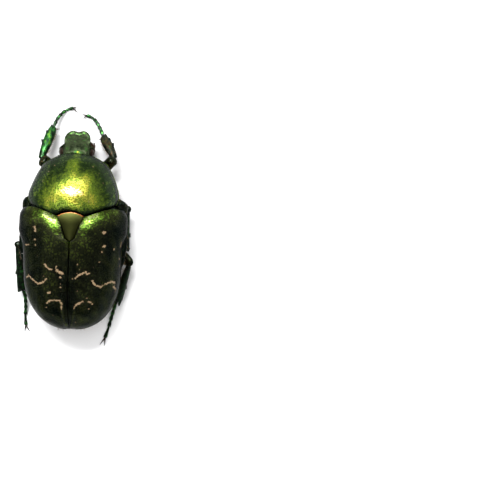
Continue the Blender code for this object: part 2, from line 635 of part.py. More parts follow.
def make_thigh(leg, kind, side, material):
    """Femur with its trochanter, from the hip to the knee."""
    hip, knee = Vector(leg["hip"]), Vector(leg["knee"])
    way = (knee - hip).normalized()
    wide, thick = THIGH_RADII[kind]
    wide *= leg.get("breadth", 1.0)
    bend = Vector(leg.get("bend", (0.0, 0.0, 0.0)))
    centres = [hip.lerp(knee, share) + bend * bow(share) for share, _ in THIGH_SHAPE]
    centres += [knee + way * reach for reach, _ in KNEE_SHAPE]
    radii = [(wide * size, thick * size) for _, size in THIGH_SHAPE + KNEE_SHAPE]
    loft(f"femur_{kind}_{side}", tube_rings(centres, radii, Vector((0, 1, 0))), material)


def make_shin(leg, kind, side, material):
    """Tibia, broad and flat, with teeth along its outer edge and a spur inside its end."""
    knee, ankle = Vector(leg["knee"]), Vector(leg["ankle"])
    way = (ankle - knee).normalized()
    wide, thick = SHIN_RADII[kind]
    wide *= leg.get("breadth", 1.0)
    outward, _ = frame_along(way, Vector(leg["teeth"][0]) - knee)
    start = knee + way * KNEE_CLEARANCE[kind] + outward * SHIN_OFFSET[kind]
    shape = SHIN_SHAPES[kind]
    centres = [start.lerp(ankle, share) for share, _ in shape]
    radii = [(wide * size, thick * (0.9 + 0.1 * size)) for _, size in shape]
    shin = loft(f"tibia_{kind}_{side}", tube_rings(centres, radii, outward), material)
    pieces = []
    for tip in leg["teeth"]:
        tip = Vector(tip)
        foot = knee + way * min((tip - knee).dot(way) - TOOTH_RADIUS, (ankle - knee).length - TOOTH_RADIUS)
        root = foot + (tip - foot).normalized() * wide * TOOTH_ROOT
        pieces.append(spike("tooth", root, tip, TOOTH_RADIUS, material))
    root = start.lerp(ankle, SPUR_SHARE) - outward * wide * SPUR_ROOT
    pieces.append(spike("spur", root, Vector(leg["spur"]), SPUR_RADIUS, material))
    apply_boolean(shin, pieces, "UNION")


def along(points, share):
    """A point on the smooth curve through the points, at a share of their count."""
    last = len(points) - 1
    at = share * last
    i = min(int(at), last - 1)
    t = at - i
    before, start, end, after = (points[min(max(k, 0), last)] for k in (i - 1, i, i + 1, i + 2))
    square = 2 * before - 5 * start + 4 * end - after
    cube = 3 * start - before - 3 * end + after
    return 0.5 * (2 * start + (end - before) * t + square * t**2 + cube * t**3)


def make_foot(leg, kind, side, material):
    """Tarsus: five joints, each widening to its end, and two claws. The last joint stands on a small flat."""
    ankle = Vector(leg["ankle"])
    path = [Vector(p) for p in leg["foot"]]
    path[0] = ankle + (path[0] - ankle).normalized() * max((path[0] - ankle).length, ANKLE_CLEARANCE + GAP)
    centres, radii = [], []
    narrow, broad_end = TOE_RADII
    for first, last in zip(TOE_SHARES[:-1], TOE_SHARES[1:]):
        steps = [(first + TOE_START, narrow), (last - TOE_END, broad_end)]
        if last == 1.0:
            steps.insert(1, ((first + last) / 2, broad_end))
        for share, radius in steps:
            centres.append(along(path, share))
            radii.append((radius, radius * TOE_FLATNESS))
    centres.append(along(path, 1.0))
    radii.append((narrow, narrow * TOE_FLATNESS))
    foot = loft(f"tarsus_{kind}_{side}", tube_rings(centres, radii, Vector((1, 0.2, 0)), 8, floor=0.0), material)
    end = centres[-1]
    root = end + (centres[-2] - end).normalized() * CLAW_SINK
    arch = Vector((0, 0, CLAW_ARCH))
    claws = [spike("claw", root, Vector(tip), CLAW_RADIUS, material, arch) for tip in leg["claws"]]
    apply_boolean(foot, claws, "UNION")


def make_legs(upper, lower):
    for name, leg in LEGS.items():
        kind, side = name.split("_")
        make_thigh(leg, kind, side, upper)
        make_shin(leg, kind, side, lower)
        make_foot(leg, kind, side, lower)
    for kind, (x, y, z) in COXA_AT.items():
        for name, side in SIDES.items():
            ellipsoid(f"coxa_{kind}_{name}", (side * x, y, z), COXA_RADII[kind], upper, 12, 8)


def make_feelers(material):
    """Each antenna: a bent stalk and a club of three leaves."""
    for name, side in SIDES.items():
        mirror = Vector((side, 1, 1))
        path = [Vector(p) * mirror for p in SCAPE]
        centres = [along(path, share) for share in np.linspace(0, 1, len(SCAPE_RADII))]
        radii = [(radius, radius) for radius in SCAPE_RADII]
        stalk = loft(f"antenna_{name}", tube_rings(centres, radii, STALK_BROAD), material)
        root, tip = Vector(CLUB_FROM) * mirror, Vector(CLUB_TO) * mirror
        leaves = []
        for spread in (-1, 0, 1):
            end = tip + Vector((spread * CLUB_SPREAD, 0, -CLUB_DROP * abs(spread)))
            leaf_centres = [root.lerp(end, share) for share, _, _ in LEAF_SHAPE]
            leaf_radii = [(wide, tall) for _, wide, tall in LEAF_SHAPE]
            leaves.append(loft("leaf", tube_rings(leaf_centres, leaf_radii, Vector((1, 0, 0)), 6), material))
        apply_boolean(stalk, leaves, "UNION")


def make_mouthparts(material):
    rings = []
    for y, half_width, crown, low in MOUTH_RINGS:
        ring = []
        for i in range(MOUTH_POINTS):
            angle = 2 * math.pi * (i + 0.5) / MOUTH_POINTS
            z = (crown + low) / 2 + (crown - low) / 2 * math.cos(angle)
            ring.append((half_width * math.sin(angle), y, z))
        rings.append(ring)
    mouth = loft("mouthparts", rings, material)
    palps = []
    for side in SIDES.values():
        path = [Vector(p) * Vector((side, 1, 1)) for p in PALP]
        centres = [along(path, share) for share in np.linspace(0, 1, len(PALP_RADII))]
        radii = [(radius, radius) for radius in PALP_RADII]
        palps.append(loft("palp", tube_rings(centres, radii, STALK_BROAD, 6), material))
    apply_boolean(mouth, palps, "UNION")


def main():
    clear_scene()
    shield_green = finish_material("shield_green", (0.27, 0.36, 0.05), 0.9, 0.3)
    case_green = finish_material("case_green", (0.1, 0.16, 0.03), 0.9, 0.32)
    belly_bronze = finish_material("belly_bronze", (0.12, 0.12, 0.05), 0.8, 0.35)
    leg_green = finish_material("leg_green", (0.05, 0.17, 0.06), 0.8, 0.32)
    eye_brown = finish_material("eye_brown", (0.03, 0.015, 0.01), 0.1, 0.25)
    feeler_brown = finish_material("feeler_brown", (0.05, 0.025, 0.015), 0.1, 0.4)
    make_shield(shield_green)
    make_scutellum(shield_green)
    make_wing_cases(case_green)
    make_head(shield_green, eye_brown)
    make_breast(belly_bronze)
    make_thorax(belly_bronze)
    make_hind_coxae(belly_bronze)
    make_abdomen(belly_bronze)
    make_pygidium(belly_bronze)
    make_mesepimera(belly_bronze)
    make_legs(belly_bronze, leg_green)
    make_feelers(feeler_brown)
    make_mouthparts(feeler_brown)


main()
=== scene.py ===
"""Looks of a metallic green flower chafer, seen from straight above on a pale floor.

Shapes are worked out in millimetres from the beetle's own centre on the floor, as in the part: +X is its
right, +Y the way its head points and +Z up. Beetle.add moves them into the frame, in metres.
"""

import math

import bmesh
import bpy
import numpy as np
from mathutils import Matrix, Vector

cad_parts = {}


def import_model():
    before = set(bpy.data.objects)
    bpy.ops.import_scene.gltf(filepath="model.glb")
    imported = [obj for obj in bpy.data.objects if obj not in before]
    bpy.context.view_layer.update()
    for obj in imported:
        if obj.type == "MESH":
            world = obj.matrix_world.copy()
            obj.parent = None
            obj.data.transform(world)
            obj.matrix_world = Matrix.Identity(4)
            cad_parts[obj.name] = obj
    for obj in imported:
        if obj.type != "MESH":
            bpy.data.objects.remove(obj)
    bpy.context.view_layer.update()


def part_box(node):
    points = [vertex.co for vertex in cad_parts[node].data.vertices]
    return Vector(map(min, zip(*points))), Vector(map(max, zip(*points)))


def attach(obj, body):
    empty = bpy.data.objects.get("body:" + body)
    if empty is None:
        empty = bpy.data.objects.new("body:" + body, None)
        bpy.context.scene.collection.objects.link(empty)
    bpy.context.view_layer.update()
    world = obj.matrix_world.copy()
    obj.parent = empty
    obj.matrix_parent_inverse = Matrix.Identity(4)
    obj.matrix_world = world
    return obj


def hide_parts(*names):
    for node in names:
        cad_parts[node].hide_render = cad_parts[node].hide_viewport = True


MM = 0.001
SIDES = {"left": -1, "right": 1}

# The photograph: its width, its camera's focal length and height, and where the beetle lies in it
PHOTO_WIDTH = 500
PHOTO_FOCAL_PIXELS = 1619.0
CAMERA_HEIGHT = 174.0
CAMERA_OVER = (18.45, -0.48)
CAMERA_TURN = math.radians(2.1)
SENSOR_MM = 36.0

# Where the fore shield's front edge lies from the beetle's centre, which ties the two frames together
SHIELD_FRONT_EDGE = 8.0


def curve(*stations):
    """A smooth function through (place, value) stations, which never overshoots them."""
    places, values = np.array(sorted(stations), float).T
    steps = np.diff(places)
    slopes = np.diff(values) / steps
    product, total = slopes[:-1] * slopes[1:], slopes[:-1] + slopes[1:]
    inner = np.where(product > 0, 2 * product / np.where(product > 0, total, 1.0), 0.0)
    tangents = np.concatenate([slopes[:1], inner, slopes[-1:]])

    def value(place):
        place = np.clip(place, places[0], places[-1])
        i = np.clip(np.searchsorted(places, place, side="right") - 1, 0, len(steps) - 1)
        t = (place - places[i]) / steps[i]
        smooth = t * t * (3 - 2 * t)
        ease = steps[i] * t * (1 - t) * ((1 - t) * tangents[i] - t * tangents[i + 1])
        return values[i] * (1 - smooth) + values[i + 1] * smooth + ease

    return value


def smoothstep(low, high, value):
    t = np.clip((value - low) / (high - low), 0, 1)
    return t * t * (3 - 2 * t)


def hump(value, centre, width):
    """A bell of height 1 at centre."""
    return np.exp(-(((value - centre) / width) ** 2))


def humps(x, y, table):
    """The sum of bells over a surface: (height, x, y, breadth, length) of each."""
    return sum(height * hump(x, at_x, wide) * hump(y, at_y, tall) for height, at_x, at_y, wide, tall in table)


def rim(away, height, ridge, groove):
    """A ridge along an edge and a groove inside it, each given as (distance from the edge, width)."""
    return height * (hump(away, *ridge) - hump(away, *groove))


def dip(away, depth, width):
    """A hollow along an edge, deepest at the edge."""
    return -depth * np.clip(1 - away / width, 0, 1) ** 2


def scaled(shape, size):
    """A curve through (share, value) stations, with the values multiplied by size."""
    return curve(*((share, size * value) for share, value in shape))


def mirrored(places, side):
    """Places drawn for the right side, taken over to a side."""
    return np.array(places, float) * (side, 1, 1)


def ripple(points, size, seed, waves=6):
    """Gentle irregular waves of about this size over points, between about -1 and 1."""
    rng = np.random.default_rng(seed)
    total = np.zeros(points.shape[:-1])
    for _ in range(waves):
        way = rng.normal(size=3)
        way *= 2 * math.pi / (size * rng.uniform(0.7, 1.6) * np.linalg.norm(way))
        total += np.sin(points @ way + rng.uniform(0, 2 * math.pi))
    return total / math.sqrt(waves)


# Wing cases
CASE_SEAM = 0.014
ARC_START, ARC_LENGTH, ARC_END = -4.5, 5.9, 0.9975
ARC_WIDTH_POWERS = (2.0, 2.3)
ARC_RISE_POWERS = (2.4, 1.9)
CASE_ROUNDNESS, CASE_THICKNESS, CASE_LIP = 2.4, 0.32, 0.06
CASE_FRONT, CASE_FRONT_FADE = 2.36, 4.2
case_half_width = curve((2.4, 5.3), (1.3, 5.66), (-0.1, 5.63), (-1.9, 5.13), (-3.2, 5.1), (-4.5, 5.05))
case_margin = curve(
    (2.4, 5.0), (1.3, 4.9), (-0.3, 5.2), (-1.9, 5.35), (-3.4, 4.7), (-5.0, 4.35), (-8.0, 4.1), (-10.5, 4.2)
)
case_crown = curve((2.4, 8.25), (1.0, 8.6), (-1.5, 8.75), (-4.5, 8.6))
case_front_edge = curve((0.0, -0.86), (1.3, -0.86), (2.5, -0.5), (3.5, -0.16), (4.5, -0.02), (5.6, -0.12))

# Scutellum
SCUTELLUM_FRONT, SCUTELLUM_TIP, SCUTELLUM_TOP = 1.84, -1.2, 8.58
SCUTELLUM_FRONT_DIP = 0.42
SCUTELLUM_THICKNESS, SCUTELLUM_LIP = 0.4, 0.07
scutellum_half_width = curve(
    (1.84, 1.34), (1.3, 1.25), (0.4, 0.9), (-0.45, 0.61), (-0.95, 0.42), (-1.2, 0.04)
)

# Fore shield
SHIELD_FRONT, SHIELD_BACK, SHIELD_FRONT_BULGE = 7.75, 2.65, 0.25
SHIELD_ROUNDNESS, SHIELD_THICKNESS, SHIELD_LIP, SHIELD_SHIFT = 2.15, 0.35, 0.09, -0.13
shield_half_width = curve(
    (7.75, 1.8), (7.3, 2.62), (6.9, 3.24), (6.3, 3.68), (5.6, 4.02), (4.7, 4.4), (3.5, 4.7), (2.65, 4.55)
)
shield_margin = curve((7.75, 4.95), (6.3, 4.65), (4.7, 4.7), (3.5, 4.9), (2.65, 5.2))
shield_crown = curve((8.0, 5.65), (7.2, 6.6), (6.2, 7.4), (5.0, 8.05), (3.6, 8.45), (1.5, 8.55))
shield_base_edge = curve((0.0, -0.72), (0.7, -0.8), (1.35, -1.06), (2.6, -0.75), (3.6, -0.4), (4.7, 0.0))

# Rises and hollows as (height, x, y, breadth, length): a wing case's shoulder, tail knob and side hollow, the
# places of painted highlights in its colour, and the fore shield's front hollows
CASE_HUMPS = ((0.17, 4.2, 0.75, 0.55, 0.6), (0.13, 2.8, -8.15, 0.5, 0.55), (-0.07, 3.4, -0.8, 0.8, 1.0))
CASE_PAINTED_GLEAMS = ((0.07, 1.9, -6.2, 0.9, 2.2), (0.06, 1.5, 0.2, 0.6, 0.9), (0.3, 0, -1.3, 0.16, 0.5))
SHIELD_HOLLOWS = ((-0.06, 1.7, 6.9, 0.6, 0.7),)
CASE_RIBS, CASE_RIB_SLANT, CASE_RIB_HEIGHT, CASE_RIB_WIDTH = (1.75, 3.05), 0.05, 0.035, 0.2

# Painted highlights in streaks across the front of the wing cases: height, half width and the places that
# each leads through
CASE_PAINTED_STREAKS = (
    (0.72, 0.34, (-2.55, 1.6), (-2.1, 1.35), (-1.6, 1.0)), (0.14, 0.75, (-3.1, 1.6), (-1.7, 0.7)),
    (0.5, 0.32, (1.6, 1.15), (2.1, 1.45), (2.6, 1.65)), (0.16, 0.75, (1.6, 0.8), (3.1, 1.6)),
)

# Cream marks on the wing cases: strokes of (x, y) places with the stroke's half width, in millimetres
MARKS = {
    "left": (
        (0.13, (-3.7, 0.2), (-3.58, -0.21)), (0.11, (-3.6, -1.14)), (0.09, (-4.62, -1.68), (-4.28, -1.66)),
        (0.1, (-3.54, -1.72)), (0.05, (-3.26, -2.76)), (0.05, (-4.14, -3.96)),
        (0.1, (-2.5, -3.63), (-1.98, -4.1), (-1.72, -4.18)), (0.13, (-1.23, -3.87)),
        (0.15, (-1.18, -4.2), (-0.6, -4.54)), (0.13, (-0.79, -4.95)), (0.06, (-0.75, -5.56)),
        (0.07, (-0.74, -5.93)), (0.05, (-0.74, -6.3)), (0.09, (-2.48, -4.82)),
        (0.1, (-4.47, -5.12), (-4.22, -4.87), (-3.69, -5.24), (-3.09, -5.66), (-2.53, -5.43), (-2.24, -5.17)),
        (0.09, (-4.41, -5.66)), (0.13, (-1.98, -6.49), (-1.84, -6.49)),
        (0.1, (-2.18, -7.61), (-1.83, -7.34), (-1.33, -7.27), (-0.84, -7.38), (-0.59, -7.66), (-0.69, -8.16)),
        (0.08, (-2.2, -8.07)), (0.05, (-1.56, -8.85)), (0.05, (-1.93, -9.47)), (0.05, (-0.33, -9.88)),
    ),
    "right": (
        (0.14, (3.42, -0.19), (3.62, -0.19)), (0.12, (3.45, -1.57), (3.61, -1.55)), (0.1, (3.35, -2.1)),
        (0.11, (4.46, -1.79)), (0.09, (5.14, -1.2), (5.05, -1.7)), (0.1, (4.97, -2.85)), (0.1, (5.0, -3.6)),
        (0.07, (5.0, -4.3)), (0.09, (3.06, -3.19)), (0.06, (2.48, -3.76)), (0.09, (0.88, -3.51)),
        (0.06, (1.18, -4.07)), (0.08, (0.91, -4.45)), (0.07, (0.48, -4.97)),
        (0.11, (0.76, -4.93), (1.08, -4.69), (1.51, -4.38)),
        (0.1, (1.71, -4.17), (1.88, -4.49), (2.14, -4.36)),
        (0.11, (2.45, -5.2), (2.77, -5.61), (3.25, -5.76), (3.78, -5.46), (4.26, -5.17), (4.63, -5.34)),
        (0.14, (4.5, -5.75), (4.7, -6.05)), (0.08, (1.0, -6.24)), (0.1, (1.93, -6.87)),
        (0.11, (2.12, -7.24), (2.47, -7.52)), (0.08, (2.15, -8.02)),
        (0.12, (0.67, -7.99), (1.05, -7.56), (1.53, -7.38)), (0.05, (0.7, -9.61)),
    ),
}
MARK_BREADTH = 0.64

# Painted highlights in the fore shield's colour: (height, x, y, breadth, length) of each soft blot, the place
# and radii of the painted bright core between them, and the places of the pale spots on each half
SHIELD_PAINTED_HIGHLIGHTS = (
    (0.3, 0.1, 3.9, 3.0, 2.0), (0.3, 0.1, 3.9, 1.9, 0.9), (0.3, 1.3, 5.2, 0.8, 0.7),
    (0.28, -2.3, 2.9, 0.9, 0.9), (0.2, 0.3, 2.6, 0.9, 0.7), (0.26, 0.05, 6.4, 0.6, 1.5),
    (0.26, 2.2, 2.95, 0.9, 0.8),
)
SHIELD_PAINTED_CORE, SHIELD_PAINTED_CORE_RADII = (0.1, 3.88), (1.35, 0.55)
SHIELD_SPOTS = ((2.0, 6.6), (2.56, 5.9), (3.08, 4.96), (1.5, 5.12), (1.8, 2.95))


def superellipse(half_width, rise, roundness, angle):
    """(across, up) on an arch: angle 0 is its top and a quarter turn its right foot."""
    power = 2 / roundness
    across = np.abs(np.sin(angle)) ** power * half_width
    return np.copysign(across, angle), np.clip(np.cos(angle), 0, None) ** power * rise


def case_section(place):
    """(y, half width, margin height, rise) of the wing cases' surface at a place along them."""
    share = np.clip((ARC_START - place) / ARC_LENGTH, 0, 1)
    margin = case_margin(place)
    half_width = case_half_width(place) * (1 - share ** ARC_WIDTH_POWERS[0]) ** (1 / ARC_WIDTH_POWERS[1])
    rise = (case_crown(place) - margin) * (1 - share ** ARC_RISE_POWERS[0]) ** (1 / ARC_RISE_POWERS[1])
    return place, half_width, margin, rise


def grid_normals(grid, away=(0, 0, 1)):
    """Unit normals of a grid of points, turned the way that away points."""
    along, across = np.gradient(grid, axis=0), np.gradient(grid, axis=1)
    normal = np.cross(along, across)
    normal /= np.linalg.norm(normal, axis=-1, keepdims=True) + 1e-12
    return normal * np.sign(np.sum(normal @ np.array(away, float)))


def raised(grid, relief, away=(0, 0, 1)):
    """A grid of points moved outwards by the heights of its relief."""
    return grid + grid_normals(grid, away) * relief[..., None]


def edge_distances(grid):
    """Distances of a grid's points from its first and last row and its first and last column."""
    down = np.linalg.norm(np.diff(grid, axis=0), axis=-1)
    right = np.linalg.norm(np.diff(grid, axis=1), axis=-1)
    from_top = np.concatenate([np.zeros((1, grid.shape[1])), np.cumsum(down, axis=0)])
    from_left = np.concatenate([np.zeros((grid.shape[0], 1)), np.cumsum(right, axis=1)], axis=1)
    return from_top, from_top[-1:] - from_top, from_left, from_left[:, -1:] - from_left


def grid_faces(rows, columns, wrap=False, start=0):
    """Quads of a grid of points, joined round its columns where wrap is set."""
    spans = columns if wrap else columns - 1
    r, c = np.meshgrid(np.arange(rows - 1), np.arange(spans), indexing="ij")
    n = (c + 1) % columns
    quads = np.stack([r * columns + c, r * columns + n, (r + 1) * columns + n, (r + 1) * columns + c], -1)
    return quads.reshape(-1, 4) + start


def pillow(outer, inner, steps=1, bulge=0.0):
    """(points, faces) of a closed body between two grids, whose borders are joined by a wall of so many steps
    that bulges out."""
    rows, columns, _ = outer.shape
    count = rows * columns
    index = np.arange(count).reshape(rows, columns)
    rim = np.concatenate([index[0, :-1], index[:-1, -1], index[-1, :0:-1], index[:0:-1, 0]])
    outer, inner = outer.reshape(-1, 3), inner.reshape(-1, 3)
    outward = (outer[rim] - outer[rim].mean(0)) * (1, 1, 0)
    outward /= np.linalg.norm(outward, axis=1, keepdims=True) + 1e-12
    shares = np.linspace(0, 1, steps + 1)[1:-1]
    walls = [
        outer[rim] * (1 - s) + inner[rim] * s + outward * bulge * math.sin(math.pi * s) for s in shares
    ]
    rings = [rim, *(2 * count + k * len(rim) + np.arange(len(rim)) for k in range(steps - 1)), rim + count]
    faces = [grid_faces(rows, columns), grid_faces(rows, columns, start=count)]
    for above, below in zip(rings[:-1], rings[1:]):
        faces.append(np.stack([above, np.roll(above, -1), np.roll(below, -1), below], -1))
    return np.concatenate([outer, inner, *walls]), np.concatenate(faces)


def plate(grid, thickness, lip):
    """(points, faces) of a closed plate whose border rolls over, with grid as its outer surface."""
    normal = grid_normals(grid)
    edge = np.minimum.reduce(edge_distances(grid))
    roll = lip - np.sqrt(np.clip(lip**2 - np.clip(lip - edge, 0, lip) ** 2, 0, None))
    return pillow(grid - normal * roll[..., None], grid - normal * thickness)


def spline(points, count):
    """Evenly spaced places along a smooth curve through points."""
    points = np.array(points, float)
    padded = np.vstack([2 * points[0] - points[1], points, 2 * points[-1] - points[-2]])
    t = np.linspace(0, 1, 24, endpoint=False)[:, None]
    fine = []
    for p0, p1, p2, p3 in zip(padded[:-3], padded[1:-2], padded[2:-1], padded[3:]):
        cubic = (3 * (p1 - p2) + p3 - p0) * t**3
        fine.append(0.5 * (2 * p1 + (p2 - p0) * t + (2 * p0 - 5 * p1 + 4 * p2 - p3) * t**2 + cubic))
    fine = np.vstack([*fine, points[-1:]])
    along = np.concatenate([[0], np.cumsum(np.linalg.norm(np.diff(fine, axis=0), axis=1))])
    at = np.linspace(0, along[-1], count)
    return np.stack([np.interp(at, along, fine[:, k]) for k in range(3)], -1)


def ring_body(rings):
    """(points, faces) of a body through rings, closed at both ends."""
    count, sides, _ = rings.shape
    points = np.concatenate([rings.reshape(-1, 3), rings[[0, -1]].mean(1)])
    faces = grid_faces(count, sides, wrap=True).tolist()
    for hub, first in ((count * sides, 0), (count * sides + 1, (count - 1) * sides)):
        faces += [[hub, first + i, first + (i + 1) % sides] for i in range(sides)]
    return points, faces


def limb(path, wide, thick, broad, caps=(0.08, 0.08), count=60, sides=28, squareness=2.0):
    """A long body with rounded ends along a path. Its radii, by share of its length, are wide along broad and
    thick across it."""
    share = (1 - np.cos(np.linspace(0.02, math.pi - 0.02, count))) / 2
    line = spline(path, 200)
    centres = np.stack([np.interp(share, np.linspace(0, 1, 200), line[:, k]) for k in range(3)], -1)
    way = np.gradient(centres, axis=0)
    way /= np.linalg.norm(way, axis=1, keepdims=True)
    across = np.array(broad, float) - way * (way @ np.array(broad, float))[:, None]
    across /= np.linalg.norm(across, axis=1, keepdims=True)
    through = np.cross(way, across)
    blunt = 1.0
    for cap, near in zip(caps, (share, 1 - share)):
        blunt = blunt * np.sqrt(1 - (1 - np.clip(near / cap, 0, 1)) ** 2)
    angle = np.linspace(0, 2 * math.pi, sides, endpoint=False)
    round_x, round_y = (np.sign(f(angle)) * np.abs(f(angle)) ** (2 / squareness) for f in (np.cos, np.sin))
    rings = centres[:, None]
    for side, size, turned in ((across, wide, round_x), (through, thick, round_y)):
        rings = rings + side[:, None] * (size(share) * blunt)[:, None, None] * turned[None, :, None]
    return ring_body(rings)


def ball(centre, radii, count):
    """A closed ellipsoid with so many points round it."""
    tilt = np.linspace(0.03, math.pi - 0.03, count // 2)[:, None]
    turn = np.linspace(0, 2 * math.pi, count, endpoint=False)[None, :]
    rings = np.stack([np.sin(tilt) * np.cos(turn), np.sin(tilt) * np.sin(turn), np.cos(tilt) + 0 * turn], -1)
    return ring_body(rings * np.array(radii) + np.array(centre))


def join(parts):
    """Several bodies as one list of points and faces."""
    points, faces, start = [], [], 0
    for part_points, part_faces in parts:
        points.append(part_points)
        faces += [[i + start for i in face] for face in part_faces]
        start += len(part_points)
    return np.concatenate(points), faces


def fuse(parts, voxel, smoothing=5):
    """One smooth surface round several bodies that overlap."""
    points, faces = join(parts)
    mesh = bpy.data.meshes.new("fuse")
    mesh.from_pydata(points.tolist(), [], faces)
    holder = bpy.data.objects.new("fuse", mesh)
    bpy.context.scene.collection.objects.link(holder)
    remesh = holder.modifiers.new("remesh", "REMESH")
    remesh.mode = "VOXEL"
    remesh.voxel_size = voxel
    smooth = holder.modifiers.new("smooth", "SMOOTH")
    smooth.iterations = smoothing
    evaluated = holder.evaluated_get(bpy.context.evaluated_depsgraph_get())
    result = evaluated.to_mesh()
    fused = np.zeros(len(result.vertices) * 3, np.float32)
    result.vertices.foreach_get("co", fused)
    fused_faces = [list(polygon.vertices) for polygon in result.polygons]
    evaluated.to_mesh_clear()
    bpy.data.objects.remove(holder)
    bpy.data.meshes.remove(mesh)
    return fused.reshape(-1, 3).astype(float), fused_faces


def shell_mesh(name, points, faces, body_at):
    """A mesh in the frame from points in millimetres, with its faces turned outwards."""
    mesh = bpy.data.meshes.new(name)
    mesh.from_pydata(((points + body_at) * MM).tolist(), [], np.asarray(faces, object).tolist())
    builder = bmesh.new()
    builder.from_mesh(mesh)
    bmesh.ops.recalc_face_normals(builder, faces=builder.faces)
    if builder.calc_volume(signed=True) < 0:
        bmesh.ops.reverse_faces(builder, faces=builder.faces)
    builder.to_mesh(mesh)
    builder.free()
    mesh.shade_smooth()
    return mesh


class Beetle:
    """Adds pieces to the frame and keeps what they share."""

    def __init__(self):
        seam = (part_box("elytron_left")[0].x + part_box("elytron_right")[1].x) / 2
        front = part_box("pronotum")[1].y
        self.at = np.array([seam / MM, front / MM - SHIELD_FRONT_EDGE, 0.0])

    def add(self, name, body, material, slot, replaces=(), **attributes):
        """One piece of the beetle, from a body of (points, faces) in millimetres."""
        points, faces = body
        mesh = shell_mesh(name, np.asarray(points, float), faces, self.at)
        piece = bpy.data.objects.new(name, mesh)
        bpy.context.scene.collection.objects.link(piece)
        mesh.materials.append(material)
        for key, values in attributes.items():
            values = np.asarray(values, np.float32)
            if values.ndim == 2:
                mesh.attributes.new(key, "FLOAT_VECTOR", "POINT").data.foreach_set("vector", values.ravel())
            else:
                values = np.ascontiguousarray(np.broadcast_to(values, len(points)))
                mesh.attributes.new(key, "FLOAT", "POINT").data.foreach_set("value", values)
        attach(piece, "root")
        if replaces:
            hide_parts(*replaces)
        return piece


# Materials

# Painted shade: the colour that the middles of the pits are darkened towards
PIT_SHADE_COLOUR = (0.01, 0.013, 0.008)
PIT_REACH, PIT_HOLLOW, PIT_SCATTER = 0.45, (0.8, 0.1), 0.8
CREAM = (0.12, 0.075, 0.04), (0.42, 0.3, 0.17)
CREAM_ROUGHNESS, COAT_ROUGHNESS = 0.75, 0.14
# Grain between the pits, by their spacing and depth, and the coat's pits by their depth
GRAIN_SIZE, GRAIN_DEPTH, COAT_DEPTH = 0.3, 0.25, 0.12


class Signal:
    """A value inside a material that is added and multiplied like a number."""

    def __init__(self, look, socket):
        self.look, self.socket = look, socket

    def combine(self, operation, first, second):
        node = self.look.nodes.new("ShaderNodeMath")
        node.operation = operation
        self.look.feed(node.inputs[0], first)
        self.look.feed(node.inputs[1], second)
        return Signal(self.look, node.outputs[0])

    def __add__(self, other):
        return self.combine("ADD", self, other)

    def __sub__(self, other):
        return self.combine("SUBTRACT", self, other)

    def __rsub__(self, other):
        return self.combine("SUBTRACT", other, self)

    def __mul__(self, other):
        return self.combine("MULTIPLY", self, other)

    def stretch(self, low, high, interpolation="LINEAR"):
        """The value mapped so that low becomes 0 and high becomes 1."""
        node = self.look.nodes.new("ShaderNodeMapRange")
        node.interpolation_type = interpolation
        node.inputs["From Min"].default_value = low
        node.inputs["From Max"].default_value = high
        self.look.feed(node.inputs["Value"], self)
        return Signal(self.look, node.outputs["Result"])


